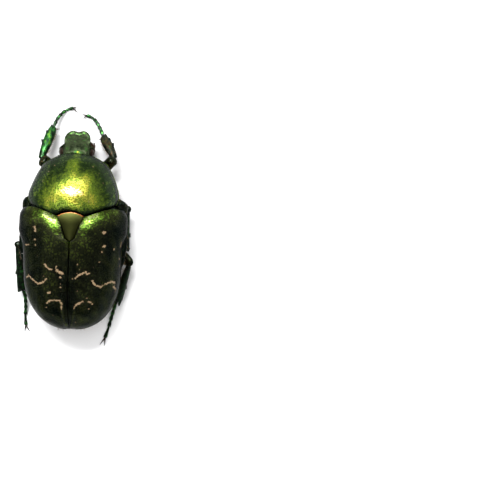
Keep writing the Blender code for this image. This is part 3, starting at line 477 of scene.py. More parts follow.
class Look:
    """The nodes of a material or of the world, made step by step."""

    def __init__(self, owner):
        owner.use_nodes = True
        self.nodes, self.links = owner.node_tree.nodes, owner.node_tree.links

    def feed(self, socket, value):
        """Gives a socket a signal, a number or a colour."""
        if isinstance(value, Signal):
            self.links.new(value.socket, socket)
        else:
            socket.default_value = (*value, 1.0) if isinstance(value, tuple) else value

    def shade(self, **values):
        """Sets the shader's inputs, such as base_color."""
        for key, value in values.items():
            name = key.replace("_", " ").title().replace("Ior", "IOR")
            self.feed(self.nodes["Principled BSDF"].inputs[name], value)

    def attribute(self, name, output="Fac"):
        node = self.nodes.new("ShaderNodeAttribute")
        node.attribute_name = name
        return Signal(self, node.outputs[output])

    def place(self):
        return Signal(self, self.nodes.new("ShaderNodeTexCoord").outputs["Object"])

    def noise(self, size, low=0.0, high=1.0):
        """Soft noise with features about size millimetres across, with its values low to high as 0 to 1."""
        cloud = self.nodes.new("ShaderNodeTexNoise")
        cloud.inputs["Scale"].default_value = 1 / (size * MM)
        cloud.inputs["Detail"].default_value = 3.0
        self.feed(cloud.inputs["Vector"], self.place())
        value = Signal(self, cloud.outputs["Fac"])
        return value if (low, high) == (0.0, 1.0) else value.stretch(low, high)

    def pits(self, spacing, unrolled=False, stretched=1.0):
        """Heights of a surface with pits about spacing millimetres apart, and each pit's random value."""
        scaled = self.nodes.new("ShaderNodeMapping")
        size = 1.0 if unrolled else 1 / MM
        scaled.inputs["Scale"].default_value = (size / spacing, size / (spacing * stretched), size / spacing)
        self.feed(scaled.inputs["Vector"], self.attribute("lie", "Vector") if unrolled else self.place())
        cells, blurred = (self.nodes.new("ShaderNodeTexVoronoi") for _ in range(2))
        blurred.feature = "SMOOTH_F1"
        blurred.inputs["Smoothness"].default_value = 0.35
        for texture in (cells, blurred):
            texture.voronoi_dimensions = "2D" if unrolled else "3D"
            texture.inputs["Scale"].default_value = 1.0
            texture.inputs["Randomness"].default_value = PIT_SCATTER
            self.links.new(scaled.outputs["Vector"], texture.inputs["Vector"])
        split = self.nodes.new("ShaderNodeSeparateColor")
        self.links.new(blurred.outputs["Color"], split.inputs["Color"])
        height = Signal(self, cells.outputs["Distance"]).stretch(0.0, PIT_REACH, "SMOOTHSTEP")
        return height, Signal(self, split.outputs["Red"])

    def bump(self, height, depth, normal=None):
        """A bump whose full height is depth millimetres."""
        node = self.nodes.new("ShaderNodeBump")
        node.inputs["Distance"].default_value = depth * MM
        node.inputs["Strength"].default_value = 1.0
        self.feed(node.inputs["Height"], height)
        if normal:
            self.feed(node.inputs["Normal"], normal)
        return Signal(self, node.outputs["Normal"])

    def blend(self, share, first, second):
        node = self.nodes.new("ShaderNodeMix")
        node.data_type = "RGBA"
        for socket, value in zip((node.inputs["Factor"], *node.inputs[6:8]), (share, first, second)):
            self.feed(socket, value)
        return Signal(self, node.outputs[2])

    def ramp(self, value, colours):
        """Colours blended by a value from 0 to 1: colours lists (place, colour)."""
        node = self.nodes.new("ShaderNodeValToRGB")
        stops = node.color_ramp.elements
        for i, (at, colour) in enumerate(colours):
            stop = stops[i] if i < 2 else stops.new(at)
            stop.position = at
            stop.color = (*colour, 1.0)
        self.feed(node.inputs["Fac"], value)
        return Signal(self, node.outputs["Color"])


def metal_shell(
    name, colours, spacing, pit_depth, roughness=0.3, unrolled=False, pit_shade=0.8, stretched=1.0,
    marks=False, edge_tint=(0.42, 0.42, 0.42), coat=0.0, glitter=0.0, patch=0.5, flecks=0.0, unevenness=0.16,
):
    """Iridescent cuticle with fine pits. The bright attribute, which carries both the parts' tone and painted
    light, leads through the colours, and the marks attribute to cream scaly patches. Glitter paints glints
    into the colour round some pits more than round others, and flecks paints a few such glints on dark ground
    too."""
    material = bpy.data.materials.new(name)
    look = Look(material)
    look.shade(metallic=1.0, roughness=roughness, specular_tint=edge_tint)
    look.shade(coat_weight=coat, coat_roughness=COAT_ROUGHNESS)
    bright = look.attribute("bright")
    height, chance = look.pits(spacing, unrolled, stretched)
    # Painted glints: glitter and flecks brighten the colour round chosen pits
    share = look.noise(patch, 0.3, 0.7) * unevenness + bright + (chance - 0.5) * glitter * bright
    share += chance.stretch(0.62, 0.88) * flecks * bright.stretch(-0.02, 0.16)
    colour = look.ramp(share - unevenness / 2, colours)
    # Painted shade darkens the middles of the pits
    colour = look.blend(height.stretch(*PIT_HOLLOW) * pit_shade, colour, PIT_SHADE_COLOUR)
    grain = look.noise(spacing * GRAIN_SIZE)
    normal = look.bump(grain, pit_depth * GRAIN_DEPTH, look.bump(height, pit_depth))
    if marks:
        cover = (look.attribute("marks") + look.noise(0.1, 0.3, 0.7) * 0.9).stretch(0.95, 1.1)
        colour = look.blend(cover, colour, look.blend(look.noise(0.06, 0.25, 0.75), *CREAM))
        look.shade(metallic=1.0 - cover, roughness=cover * (CREAM_ROUGHNESS - roughness) + roughness)
    look.shade(base_color=colour, normal=normal)
    if coat:
        look.shade(coat_normal=look.bump(height, pit_depth * COAT_DEPTH))
    return material


def gloss_shell(name, dark, bright, roughness, spacing, depth, patch, tint=(1.0, 1.0, 1.0)):
    """Plain chitin, such as eyes, feelers, claws and hairs."""
    material = bpy.data.materials.new(name)
    look = Look(material)
    look.shade(roughness=roughness, specular_ior_level=0.4, specular_tint=tint)
    look.shade(base_color=look.blend(look.noise(patch, 0.3, 0.7), dark, bright))
    look.shade(normal=look.bump(look.pits(spacing)[0], depth))
    return material


# Wing cases, scutellum and fore shield


def on_surface(grid, x, y):
    """The grid's point that lies nearest to a place in plan."""
    away = (grid[..., 0] - x) ** 2 + (grid[..., 1] - y) ** 2
    return grid.reshape(-1, 3)[np.argmin(away)]


def stroke_distance(grid, stroke):
    """Distances of a grid's points from a stroke, which is drawn on the grid through places in plan."""
    line = [on_surface(grid, *place) for place in stroke]
    nearest = np.full(grid.shape[:2], 1e9)
    for start, end in zip(line, line[1:] or line):
        span = end - start
        t = np.clip((grid - start) @ span / (span @ span + 1e-9), 0, 1)
        nearest = np.minimum(nearest, np.linalg.norm(grid - start - t[..., None] * span, axis=-1))
    return nearest


def mark_cover(grid, strokes):
    """How far each point is covered by the cream marks, from 0 to 1."""
    wobble = MARK_BREADTH * np.clip(1 + 0.6 * ripple(grid, 0.25, 5), 0.25, 1.7)
    cover = np.zeros(grid.shape[:2])
    for half_width, *places in strokes:
        cover = np.maximum(cover, smoothstep(2.0, 0.6, stroke_distance(grid, places) / (half_width * wobble)))
    return cover


def both_faces(values):
    """Attributes of a plate's outer grid, repeated for its inner one, which has no marks."""
    twice = {key: np.concatenate([v, v]).reshape(-1, *v.shape[2:]) for key, v in values.items()}
    if "marks" in values:
        twice["marks"][values["marks"].size :] = 0
    return twice


def lie_of(grid):
    """Places on a grid, unrolled: its own y and the distance across it from its middle, in millimetres."""
    from_top, _, from_left, _ = edge_distances(grid)
    middle = grid.shape[1] // 2
    along = from_top[:, middle : middle + 1] + 0 * from_top
    return np.stack([from_left - from_left[:, middle : middle + 1], along, 0 * along], -1)


def case_surface(side):
    """The grid of one wing case's outer surface, from front to tip and from seam to margin."""
    straight = np.linspace(CASE_FRONT, ARC_START, 120, endpoint=False)
    curved = ARC_START - ARC_LENGTH * ARC_END * np.sin(np.linspace(0, math.pi / 2, 110))
    place = np.concatenate([straight, curved])[:, None]
    y, half_width, margin, rise = case_section(place)
    fade = np.clip(1 - (CASE_FRONT - y) / CASE_FRONT_FADE, 0, 1) ** 2
    beside = scutellum_half_width(y + case_front_edge(1.3) * fade) + 0.03
    at_tip = y < SCUTELLUM_TIP - 0.05
    inner = np.minimum(np.where(at_tip, CASE_SEAM, np.maximum(beside, CASE_SEAM)), half_width * 0.9)
    first = np.arcsin((inner / half_width) ** (CASE_ROUNDNESS / 2))
    share = np.linspace(0, 1, 165)[None, :]
    x, up = superellipse(half_width, rise, CASE_ROUNDNESS, first + (math.pi / 2 - first) * share)
    return np.stack([side * x, y + case_front_edge(x) * fade, margin + up], -1)


def case_relief(grid):
    """Heights of the wing case's shoulder, ribs, furrow and tail knob over its plain surface."""
    x, y = np.abs(grid[..., 0]), grid[..., 1]
    front, _, _, margin = edge_distances(grid)
    back = smoothstep(-1.0, -3.0, y) * smoothstep(-9.6, -8.2, y)
    rear = smoothstep(-2.5, -5.0, y) * smoothstep(-10.4, -9.6, y)
    relief = humps(x, y, CASE_HUMPS)
    for rib in CASE_RIBS:
        relief += CASE_RIB_HEIGHT * hump(x, rib - CASE_RIB_SLANT * (y + 5), CASE_RIB_WIDTH) * back
    relief += (0.09 * hump(x, 0.4, 0.16) - 0.07 * hump(x, 0.85, 0.3)) * rear
    relief += dip(front, 0.16, 0.8) + rim(margin, 0.05, (0.1, 0.07), (0.27, 0.1))
    return relief + 0.012 * ripple(grid, 1.3, 3)


def case_tone_and_painted_light(grid):
    """Painted golden green highlights at the front edge, olive beside the seam and near black towards the
    tail.
    """
    x, y = np.abs(grid[..., 0]), grid[..., 1]
    front = edge_distances(grid)[0]
    # Lighter olive in the front half beside the seam and darker behind, partly the cases' own tone and partly
    # painted light; then the painted gleams
    bright = 0.05 + 0.14 * smoothstep(-4.8, -1.2, y) * smoothstep(4.2, 1.5, x) + humps(x, y, CASE_PAINTED_GLEAMS)
    # Painted highlight along the front edge, and the painted highlight streaks
    bright += 0.2 * smoothstep(2.6, 0.3, front) * smoothstep(5.2, 4.6, x) * smoothstep(0.9, 2.0, x)
    for height, half_width, *streak in CASE_PAINTED_STREAKS:
        bright += height * hump(stroke_distance(grid, streak), 0, half_width) * smoothstep(0.9, 1.7, x)
    # Painted highlights along the raised ridges beside the seam before the tip
    tail = smoothstep(-10.3, -9.6, y) * smoothstep(-7.4, -8.4, y)
    bright += 0.1 * hump(x, 0.2 + 0.25 * (y + 10.2), 0.09) * tail
    # Painted shade towards the outer margins
    bright *= smoothstep(5.3, 4.5, x)
    return np.clip(bright + 0.04 * ripple(grid, 1.0, 8), 0, 1)


def make_wing_cases(beetle, material):
    for name, side in SIDES.items():
        grid = case_surface(side)
        marks = mark_cover(grid, MARKS[name])
        relief = case_relief(grid) + 0.02 * marks
        values = both_faces({"marks": marks, "bright": case_tone_and_painted_light(grid), "lie": lie_of(grid)})
        body = plate(raised(grid, relief), CASE_THICKNESS, CASE_LIP)
        beetle.add(f"case_{name}", body, material, "case_green", [f"elytron_{name}"], **values)


def make_scutellum(beetle, material):
    along = np.linspace(0, 1, 90)[:, None]
    share = np.linspace(-1, 1, 80)[None, :]
    place = SCUTELLUM_FRONT + (SCUTELLUM_TIP - SCUTELLUM_FRONT) * (1 - (1 - along) ** 1.3)
    y = place - SCUTELLUM_FRONT_DIP * share**2 * np.clip(1 - along * 2.2, 0, 1)
    z = SCUTELLUM_TOP - 0.1 * share**2 - 0.08 * np.clip(y - 0.6, 0, None) ** 2
    grid = np.stack([share * scutellum_half_width(place), y, z], -1)
    front = edge_distances(grid)[0]
    values = both_faces({"bright": 0.35 + 0.5 * hump(front, 0.02, 0.09), "lie": lie_of(grid)})
    body = plate(grid, SCUTELLUM_THICKNESS, SCUTELLUM_LIP)
    beetle.add("scutellum_plate", body, material, "shield_green", ["scutellum"], **values)


def shield_surface():
    rows = np.linspace(0, 1, 150)[:, None]
    share = 0.5 * rows + 0.5 * np.sin(rows * math.pi / 2) ** 2
    angle = np.linspace(-math.pi / 2, math.pi / 2, 300)[None, :]
    end = SHIELD_FRONT + (SHIELD_BACK - SHIELD_FRONT) * share
    half_width = shield_half_width(end)
    x, arch = superellipse(half_width, 1.0, SHIELD_ROUNDNESS, angle)
    bulge = SHIELD_FRONT_BULGE * (1 - share) ** 2 * (1 - (x / half_width) ** 2)
    y = end + bulge + shield_base_edge(np.abs(x)) * share**3
    margin, crown = shield_margin(end), shield_crown(y)
    return np.stack([x + SHIELD_SHIFT * share, y, margin + (crown - margin) * arch], -1)


def make_shield(beetle, material):
    grid = shield_surface()
    x, y = np.abs(grid[..., 0]), grid[..., 1]
    front, back, left, right = edge_distances(grid)
    side = np.minimum(left, right)
    relief = rim(side, 0.05, (0.09, 0.06), (0.24, 0.09)) + rim(front, 0.03, (0.08, 0.06), (0.2, 0.08))
    relief += dip(back, 0.1, 0.5) + 0.09 * hump(x, 0, 0.7) * smoothstep(5.4, 7.6, y)
    relief += humps(x, y, SHIELD_HOLLOWS) + 0.012 * ripple(grid, 1.4, 11)
    grid = raised(grid, relief)
    # Painted light in the shield's colour: highlight blots and a bright core, painted shade along its base
    # and sides, and a painted highlight along its side rims
    core = (np.stack([grid[..., 0], y], -1) - SHIELD_PAINTED_CORE) / SHIELD_PAINTED_CORE_RADII
    bright = 0.12 + humps(grid[..., 0], y, SHIELD_PAINTED_HIGHLIGHTS)
    bright += 0.24 * smoothstep(1.2, 0.7, np.linalg.norm(core, axis=-1))
    bright = np.minimum(bright, 1.0) * (1 - 0.7 * hump(back, 0, 0.2)) * smoothstep(0.25, 1.5, side)
    bright += 0.35 * hump(side, 0.1, 0.06) + 0.04 * ripple(grid, 0.7, 12)
    spots = [((way * across, along),) for across, along in SHIELD_SPOTS for way in SIDES.values()]
    away = np.minimum.reduce([stroke_distance(grid, spot) for spot in spots])
    marks = 0.62 * smoothstep(0.17, 0.02, away)
    values = both_faces({"bright": bright, "marks": marks, "lie": lie_of(grid)})
    body = plate(grid, SHIELD_THICKNESS, SHIELD_LIP)
    beetle.add("shield", body, material, "shield_green", ["pronotum"], **values)


# Head, with its notched and rimmed front plate, eyes, feelers and mouthparts

head_half_width = curve(
    (7.3, 1.3), (7.9, 1.36), (8.4, 1.42), (8.7, 1.42), (8.9, 1.37), (9.05, 1.35), (9.3, 1.37), (9.65, 1.35)
)
head_front_edge = curve(
    (0.0, 10.3), (0.22, 10.34), (0.5, 10.45), (0.78, 10.39), (1.0, 10.25), (1.17, 10.07), (1.29, 9.86),
    (1.35, 9.65)
)
head_top = curve(
    (7.3, 5.5), (7.9, 5.3), (8.3, 5.12), (8.7, 4.88), (9.15, 4.56), (9.55, 4.27), (9.95, 3.99), (10.47, 3.68)
)
head_low = curve((7.3, 3.1), (8.4, 2.85), (9.2, 2.85), (10.0, 3.0), (10.47, 3.3))
HEAD_BACK, HEAD_CORNER, HEAD_SHIFT = 7.3, 9.65, -0.06
HEAD_KEEL = ((0.05, 0, 8.8, 0.35, 0.5),)
# Painted highlights in the head's colour, as (height, x, y, breadth, length): one on the brow and one on each
# cheek
BROW_PAINTED_GLEAM, CHEEK_PAINTED_GLEAM = ((0.7, 0.1, 8.1, 0.45, 0.26),), ((0.5, 1.08, 8.5, 0.26, 0.42),)
CHEEK_BLADE = ((1.12, 8.98, 4.34), (1.42, 8.78, 4.28), (1.68, 8.6, 4.18), (1.83, 8.38, 4.06))
EYE_AT, EYE_RADII = (1.35, 8.18, 3.98), (0.54, 0.56, 0.56)

# The right feeler: stalk, chain of joints, and the club's middle leaf with what each leaf beside it adds
FEELER_STALK = ((1.0, 9.5, 2.9), (1.22, 9.2, 2.66), (1.44, 8.85, 2.42))
FEELER_CHAIN = ((1.44, 8.85, 2.4), (1.52, 8.58, 2.15), (1.48, 8.42, 1.86), (1.44, 8.5, 1.68))
FEELER_JOINTS, FEELER_JOINT_SIZE, FEELER_JOINT_GROWTH = 6, 0.15, 0.012
LEAF = ((1.44, 8.46, 1.66), (1.36, 8.95, 1.6), (1.22, 9.4, 1.5))
LEAF_SPREAD, LEAF_SINK = ((0, 0, 0), (0.18, 0, 0), (0.22, 0, 0)), ((0, 0, 0), (0, 0, 0), (0, -0.04, -0.06))

# Chin, and the right jaw and palps
CHIN_BACK, CHIN_FRONT, CHIN_LOW, CHIN_TOP = 8.5, 9.95, 2.16, 2.95
chin_half_width = curve((8.5, 0.42), (8.9, 0.58), (9.4, 0.55), (9.95, 0.46))
JAW = ((0.52, 8.8, 2.7), (0.76, 9.25, 2.62), (0.72, 9.7, 2.6), (0.46, 9.98, 2.66))
PALP = ((0.72, 9.45, 2.5), (0.76, 9.8, 2.15), (0.7, 10.1, 1.88), (0.58, 10.36, 1.68))
PALP_JOINT_SIZES = (0.1, 0.12, 0.12, 0.14)
LIP_PALP = ((0.3, 9.75, 2.2), (0.36, 10.0, 2.0), (0.34, 10.2, 1.92))


def make_head(beetle, material):
    rows = np.linspace(0, 1, 120)[:, None]
    share = np.sin(np.linspace(-math.pi / 2, math.pi / 2, 140))[None, :]
    place = HEAD_BACK + (HEAD_CORNER - HEAD_BACK) * rows
    x = share * head_half_width(place)
    y = place + (head_front_edge(np.abs(x)) - HEAD_CORNER) * smoothstep(0.62, 1.0, rows)
    z = head_top(y) - 0.3 * np.abs(share) ** 3 * smoothstep(9.6, 8.8, y)
    top = np.stack([x, y, z], -1)
    _, front, left, right = edge_distances(top)
    side = np.minimum(left, right)
    plate_share = smoothstep(8.8, 9.7, y)
    relief = plate_share * 0.07 * np.maximum(hump(side, 0.06, 0.08), hump(front, 0.1, 0.1))
    relief -= plate_share * 0.04 * smoothstep(0.1, 0.5, np.minimum(side, front))
    relief += humps(x, y, HEAD_KEEL) + 0.05 * hump(side, 0.08, 0.08) * smoothstep(9.2, 8.9, y)
    top = raised(top, relief + 0.01 * ripple(top, 0.6, 21))
    low = np.stack([x * 0.86, y - 0.14 * smoothstep(0.7, 1, rows), head_low(y) + 0.35 * share**2], -1)
    body = pillow(top, low, 10, 0.05)
    x, y = top[..., 0], top[..., 1]
    # Painted light in the head's colour: darker towards the back, painted highlights on the brow, the cheeks
    # and the front plate's rim, and painted shade along the hind sides and at the very edges
    bright = 0.3 - 0.16 * smoothstep(9.1, 8.7, y) + 0.02 * ripple(top, 0.5, 22)
    bright += humps(x, y, BROW_PAINTED_GLEAM) + humps(np.abs(x), y, CHEEK_PAINTED_GLEAM)
    bright *= 1 - 0.6 * smoothstep(0.5, 0.15, side) * smoothstep(9.4, 9.0, y)
    rim_painted_gleam = np.maximum(hump(front, 0.26, 0.07), 0.3 * hump(side, 0.1, 0.06))
    bright += 0.2 * smoothstep(9.0, 9.6, y) * rim_painted_gleam
    bright *= smoothstep(-0.02, 0.16, np.minimum(front, side + 0.1 * plate_share))
    values = np.full(len(body[0]), 0.2)
    values[: bright.size] = bright.ravel()
    beetle.add("head_shell", body, material, "shield_green", ["head"], bright=values)
    sizes = curve((0, 0.12), (0.5, 0.13), (1, 0.07)), curve((0, 0.17), (1, 0.06))
    for name, side in SIDES.items():
        blade = limb(mirrored(CHEEK_BLADE, side) + (HEAD_SHIFT, 0, 0), *sizes, (0, 0, 1), count=30)
        beetle.add(f"canthus_{name}", blade, material, "shield_green", ["head"], bright=0.12)


def make_eyes(beetle, material):
    for name, side in SIDES.items():
        body = ball(mirrored(EYE_AT, side) + (HEAD_SHIFT, 0, 0), EYE_RADII, 96)
        beetle.add(f"eyeball_{name}", body, material, "eye_brown", [f"eye_{name}"])


def make_feelers(beetle, material):
    """Each feeler: a clubbed stalk, a chain of small joints and a club of three leaves."""
    stalk_sizes = curve((0, 0.11), (0.7, 0.22), (1, 0.24)), curve((0, 0.1), (1, 0.2))
    leaf_breadth = curve((0, 0.12), (0.25, 0.24), (0.75, 0.3), (1, 0.22))
    leaf_sizes = curve((0, 0.07), (0.6, 0.1), (1, 0.07)), leaf_breadth
    for name, side in SIDES.items():
        parts = [limb(mirrored(FEELER_STALK, side), *stalk_sizes, (0, 0, 1), count=30)]
        chain = spline(mirrored(FEELER_CHAIN, side), FEELER_JOINTS + 1)
        for i, (start, end) in enumerate(zip(chain[:-1], chain[1:])):
            overlap = (end - start) * 0.1
            size = scaled(((0, 0.6), (0.75, 1), (1, 0.7)), FEELER_JOINT_SIZE + FEELER_JOINT_GROWTH * i)
            bead = [start - overlap, (start + end) / 2, end + overlap]
            parts.append(limb(bead, size, size, (0, 0, 1), (0.25, 0.25), 14, 16))
        for spread in (-1, 0, 1):
            leaf = np.array(LEAF) + np.array(LEAF_SPREAD) * spread + np.array(LEAF_SINK) * abs(spread)
            parts.append(limb(mirrored(leaf, side), *leaf_sizes, (1, 0, 0), (0.1, 0.15), 40, 28))
        beetle.add(f"feeler_{name}", join(parts), material, "feeler_brown", [f"antenna_{name}"])


def make_mouth(beetle, material):
    """Chin plate, outer jaws, and a large and a small pair of palps, under the head."""
    share = np.linspace(-1, 1, 60)[None, :]
    place = np.linspace(CHIN_BACK, CHIN_FRONT, 60)[:, None]
    x = share * chin_half_width(place)
    y = place - 0.12 * hump(x, 0, 0.16) * smoothstep(9.4, 9.95, place)
    under = np.stack([x, y, CHIN_LOW + 0.22 * share**2 + 0.06 * hump(share, 0, 0.3) + 0 * y], -1)
    roof = np.stack([x * 0.92, y, CHIN_TOP + 0 * x], -1)
    parts = [pillow(under, roof, 6, 0.04)]
    jaw_sizes = curve((0, 0.16), (0.5, 0.24), (1, 0.08)), curve((0, 0.2), (1, 0.16))
    small = curve((0, 0.06), (0.6, 0.09), (1, 0.06))
    for side in SIDES.values():
        parts.append(limb(mirrored(JAW, side), *jaw_sizes, (1, 0, 0), count=40))
        palp = spline(mirrored(PALP, side), len(PALP_JOINT_SIZES) + 1)
        for size, start, end in zip(PALP_JOINT_SIZES, palp[:-1], palp[1:]):
            wide = scaled(((0, 0.6), (0.6, 1), (1, 0.75)), size)
            parts.append(limb([start, (start + end) / 2, end], wide, wide, (1, 0, 0), (0.2, 0.25), 18, 16))
        parts.append(limb(mirrored(LIP_PALP, side), small, small, (1, 0, 0), (0.2, 0.2), 24, 16))
    beetle.add("mouth", join(parts), material, "feeler_brown", ["mouthparts"])


# Underside of the trunk

flank_half_width = curve(
    (3.3, 4.2), (2.2, 4.75), (1.5, 5.25), (0.6, 5.55), (-1.4, 5.55), (-2.6, 5.42), (-4.0, 5.0), (-6.0, 4.72),
    (-7.5, 4.25), (-8.5, 3.72), (-9.15, 3.2)
)
underside = curve(
    (3.3, 3.3), (2.2, 2.6), (1.2, 2.1), (-1.0, 1.95), (-2.6, 2.1), (-4.0, 2.15), (-6.0, 2.15), (-8.0, 2.6),
    (-9.2, 3.2), (-10.1, 3.7)
)
breast_keel = curve((7.5, 3.7), (7.35, 3.55), (6.4, 2.9), (5.2, 2.5), (3.8, 2.7), (2.75, 3.3))
FLANK_DROP, UNDERSIDE_ROUNDNESS, ROOF_DROP = 0.14, 2.3, 1.2
THORAX_FRONT, THORAX_BACK = 3.3, -2.62
HIP_PLATE_FRONT, HIP_PLATE_BACK = -2.66, -3.95
VENTRITES = (-3.85, -4.9, -5.95, -7.0, -8.05, -9.3)
COXAE = {"front": ((1.05, 5.15, 2.15), (0.88, 0.74, 0.78)), "middle": ((1.45, 0.75, 2.05), (0.92, 0.6, 0.62))}
BREAST_KNOB, BREAST_KNOB_RADII = (0, 1.9, 2.32), (0.74, 0.52, 0.5)
THORAX_SWELLINGS, BREAST_SPINE = ((0.12, 1.1, -1.2, 0.8, 0.9),), ((0.25, 0, 4.5, 0.22, 0.45),)
SIDE_PLATE_AT, SIDE_PLATE_REACH = (4.72, 1.92, 4.05), {"left": 0.8, "right": 0.72}


def trunk_grids(place, columns=180):
    """(roof, belly) grids of the trunk under the wing cases, at places along it."""
    place = place[:, None]
    angle = np.linspace(-math.pi / 2, math.pi / 2, columns)[None, :]
    edge, flank = case_margin(place) - FLANK_DROP, flank_half_width(place)
    _, half_width, _, rise = case_section(place)
    x, up = superellipse(np.minimum(half_width - 0.5, flank - 0.15), rise - ROOF_DROP, CASE_ROUNDNESS, angle)
    roof = np.stack([x, place + 0 * x, edge + up], -1)
    x, down = superellipse(flank, edge - underside(place), UNDERSIDE_ROUNDNESS, angle)
    return roof, np.stack([x, place + 0 * x, edge - down], -1)


def socket_ring(grid, kind):
    """A groove round each of a pair of coxae."""
    (x, y, _), (a, b, _) = COXAE[kind]
    away = np.hypot((np.abs(grid[..., 0]) - x) / (a + 0.1), (grid[..., 1] - y) / (b + 0.1))
    return -0.14 * hump(away, 1.0, 0.16)


def belly_values(points):
    """Bronze in the middle, greener along the flanks, with painted shade darkening what reaches up under the
    wing cases.
    """
    bright = 0.6 - 0.36 * smoothstep(1.5, 4.5, np.abs(points[:, 0])) + 0.1 * ripple(points, 1.1, 31)
    # Painted shade: darker higher up, under the wing cases
    return {"bright": bright * smoothstep(4.9, 4.3, points[:, 2])}


def add_trunk_part(beetle, name, roof, belly, relief, material, node, marks=None):
    body = pillow(raised(belly, relief, (0, 0, -1)), roof, 3, 0.0)
    cover = np.zeros(len(body[0]))
    if marks is not None:
        cover[: marks.size] = marks.ravel()
    beetle.add(name, body, material, "belly_bronze", [node], marks=cover, **belly_values(body[0]))


def make_thorax(beetle, material):
    place = np.linspace(THORAX_FRONT, THORAX_BACK, 150)
    roof, belly = trunk_grids(place)
    for grid in (roof, belly):
        grid[..., 0] *= 1 - 0.12 * smoothstep(2.3, 3.0, place)[:, None]
    x, y = np.abs(belly[..., 0]), belly[..., 1]
    relief = socket_ring(belly, "middle") - 0.09 * hump(x, 0, 0.07) * smoothstep(0.6, 0.2, y)
    relief -= 0.06 * hump(y, 1.25 - 0.1 * x, 0.09) * smoothstep(2.3, 2.7, x)
    relief += 0.06 * smoothstep(4.5, 4.7, x + 0.12 * y)
    relief -= 0.09 * hump(x, 4.55 + 0.12 * y, 0.07) * smoothstep(1.2, 0.8, y)
    relief += humps(x, y, THORAX_SWELLINGS) + 0.015 * ripple(belly, 1.2, 33)
    add_trunk_part(beetle, "breastplate", roof, belly, relief, material, "thorax")
    body = ball(BREAST_KNOB, BREAST_KNOB_RADII, 64)
    beetle.add("breast_knob", body, material, "belly_bronze", ["thorax"], **belly_values(body[0]))


def make_hind_coxae(beetle, material):
    place = np.linspace(HIP_PLATE_FRONT, HIP_PLATE_BACK, 50)
    roof, belly = trunk_grids(place)
    share = (place[:, None] - HIP_PLATE_FRONT) / (HIP_PLATE_BACK - HIP_PLATE_FRONT) + 0 * belly[..., 0]
    x = np.abs(belly[..., 0])
    relief = 0.1 * np.sin(share * math.pi) ** 0.6 - 0.12 * hump(x, 0, 0.08) + 0.05 * hump(share, 0.92, 0.07)
    relief -= 0.08 * hump(x, 2.9, 0.07) * smoothstep(0.2, 0.6, share)
    middle = belly.shape[1] // 2
    for name, columns in (("left", slice(0, middle)), ("right", slice(middle, None))):
        half = (grid[:, columns] for grid in (roof, belly, relief))
        add_trunk_part(beetle, f"hip_plate_{name}", *half, material, f"coxa_hind_{name}")


def make_belly(beetle, material):
    """The belly's rings: each stands a little proud of the next, with cream patches at its sides."""
    for i, (front, back) in enumerate(zip(VENTRITES[:-1], VENTRITES[1:])):
        place = np.linspace(front + 0.12, back - 0.02, 40)
        roof, belly = trunk_grids(place)
        share = (place[:, None] - front) / (back - front) + 0 * belly[..., 0]
        x = np.abs(belly[..., 0])
        relief = 0.02 + 0.1 * smoothstep(-0.1, 0.95, share) - 0.08 * smoothstep(0.94, 1.02, share)
        relief -= 0.07 * hump(x, 0, 1.0) + 0.02 * hump(share, 0.12, 0.06)
        widest = flank_half_width(place)[:, None]
        outer = np.hypot((x - 0.86 * widest) / 1.2, (share - 0.62) / 1.6)
        inner = np.hypot((x - 0.66 * widest) / 0.4, (share - 0.8) / 0.5)
        marks = np.maximum(smoothstep(0.3, 0.0, outer) * (i < 4), 0.6 * smoothstep(0.5, 0.1, inner))
        add_trunk_part(beetle, f"belly_ring_{i + 1}", roof, belly, relief, material, "abdomen", marks)


def make_pygidium(beetle, material):
    """The tail plate under the tips of the wing cases."""
    share = np.linspace(0, 1, 60)[:, None]
    angle = np.linspace(-math.pi / 2, math.pi / 2, 120)[None, :]
    y = -9.2 - 1.08 * np.sin(share * math.pi / 2) + 0 * angle
    half_width = case_section(y)[1] - 0.16
    edge = case_margin(y) - 0.16
    low = 2.85 + 0.95 * share**1.6
    x = half_width * np.sin(angle)
    under = np.stack([x, y, edge - (edge - low) * np.cos(angle)], -1)
    roof = np.stack([x * 0.97, y, edge + 0.3 + 0 * x], -1)
    relief = 0.03 * ripple(under, 0.8, 41) + 0.05 * hump(x, 0, 0.3)
    marks = smoothstep(0.45, 0.1, np.hypot((np.abs(x) - 1.35) / 1.0, (share - 0.62) / 0.9)) * 0.9
    add_trunk_part(beetle, "tail_plate", roof, under, relief, material, "pygidium", marks)


def make_breast(beetle, material):
    """The underside of the fore shield."""
    place = np.linspace(7.45, 2.8, 110)[:, None]
    angle = np.linspace(-math.pi / 2, math.pi / 2, 180)[None, :]
    half_width, margin = shield_half_width(place) - 0.13, shield_margin(place) - 0.1
    x, down = superellipse(half_width, 1.0, 1.9, angle)
    belly = np.stack([x, place + 0 * x, margin - (margin - breast_keel(place)) * down], -1)
    rise = 0.72 * (shield_crown(place) - margin)
    roof = np.stack([x * 0.93, place + 0 * x, margin + rise * down], -1)
    x, y = np.abs(belly[..., 0]), belly[..., 1]
    relief = socket_ring(belly, "front") - 0.07 * hump(x, 3.0 + 0.15 * (5 - y), 0.08)
    relief += humps(x, y, BREAST_SPINE) + 0.015 * ripple(belly, 0.9, 43)
    add_trunk_part(beetle, "breast", roof, belly, relief, material, "prosternum")


def make_coxae(beetle, material):
    for kind, (at, radii) in COXAE.items():
        for name, side in SIDES.items():
            body = ball(mirrored(at, side), radii, 64)
            body[0][:, 2] -= 0.05 * hump(body[0][:, 1], at[1], 0.15)
            place = f"{kind}_{name}"
            values = belly_values(body[0])
            beetle.add(f"hip_{place}", body, material, "belly_bronze", [f"coxa_{place}"], **values)


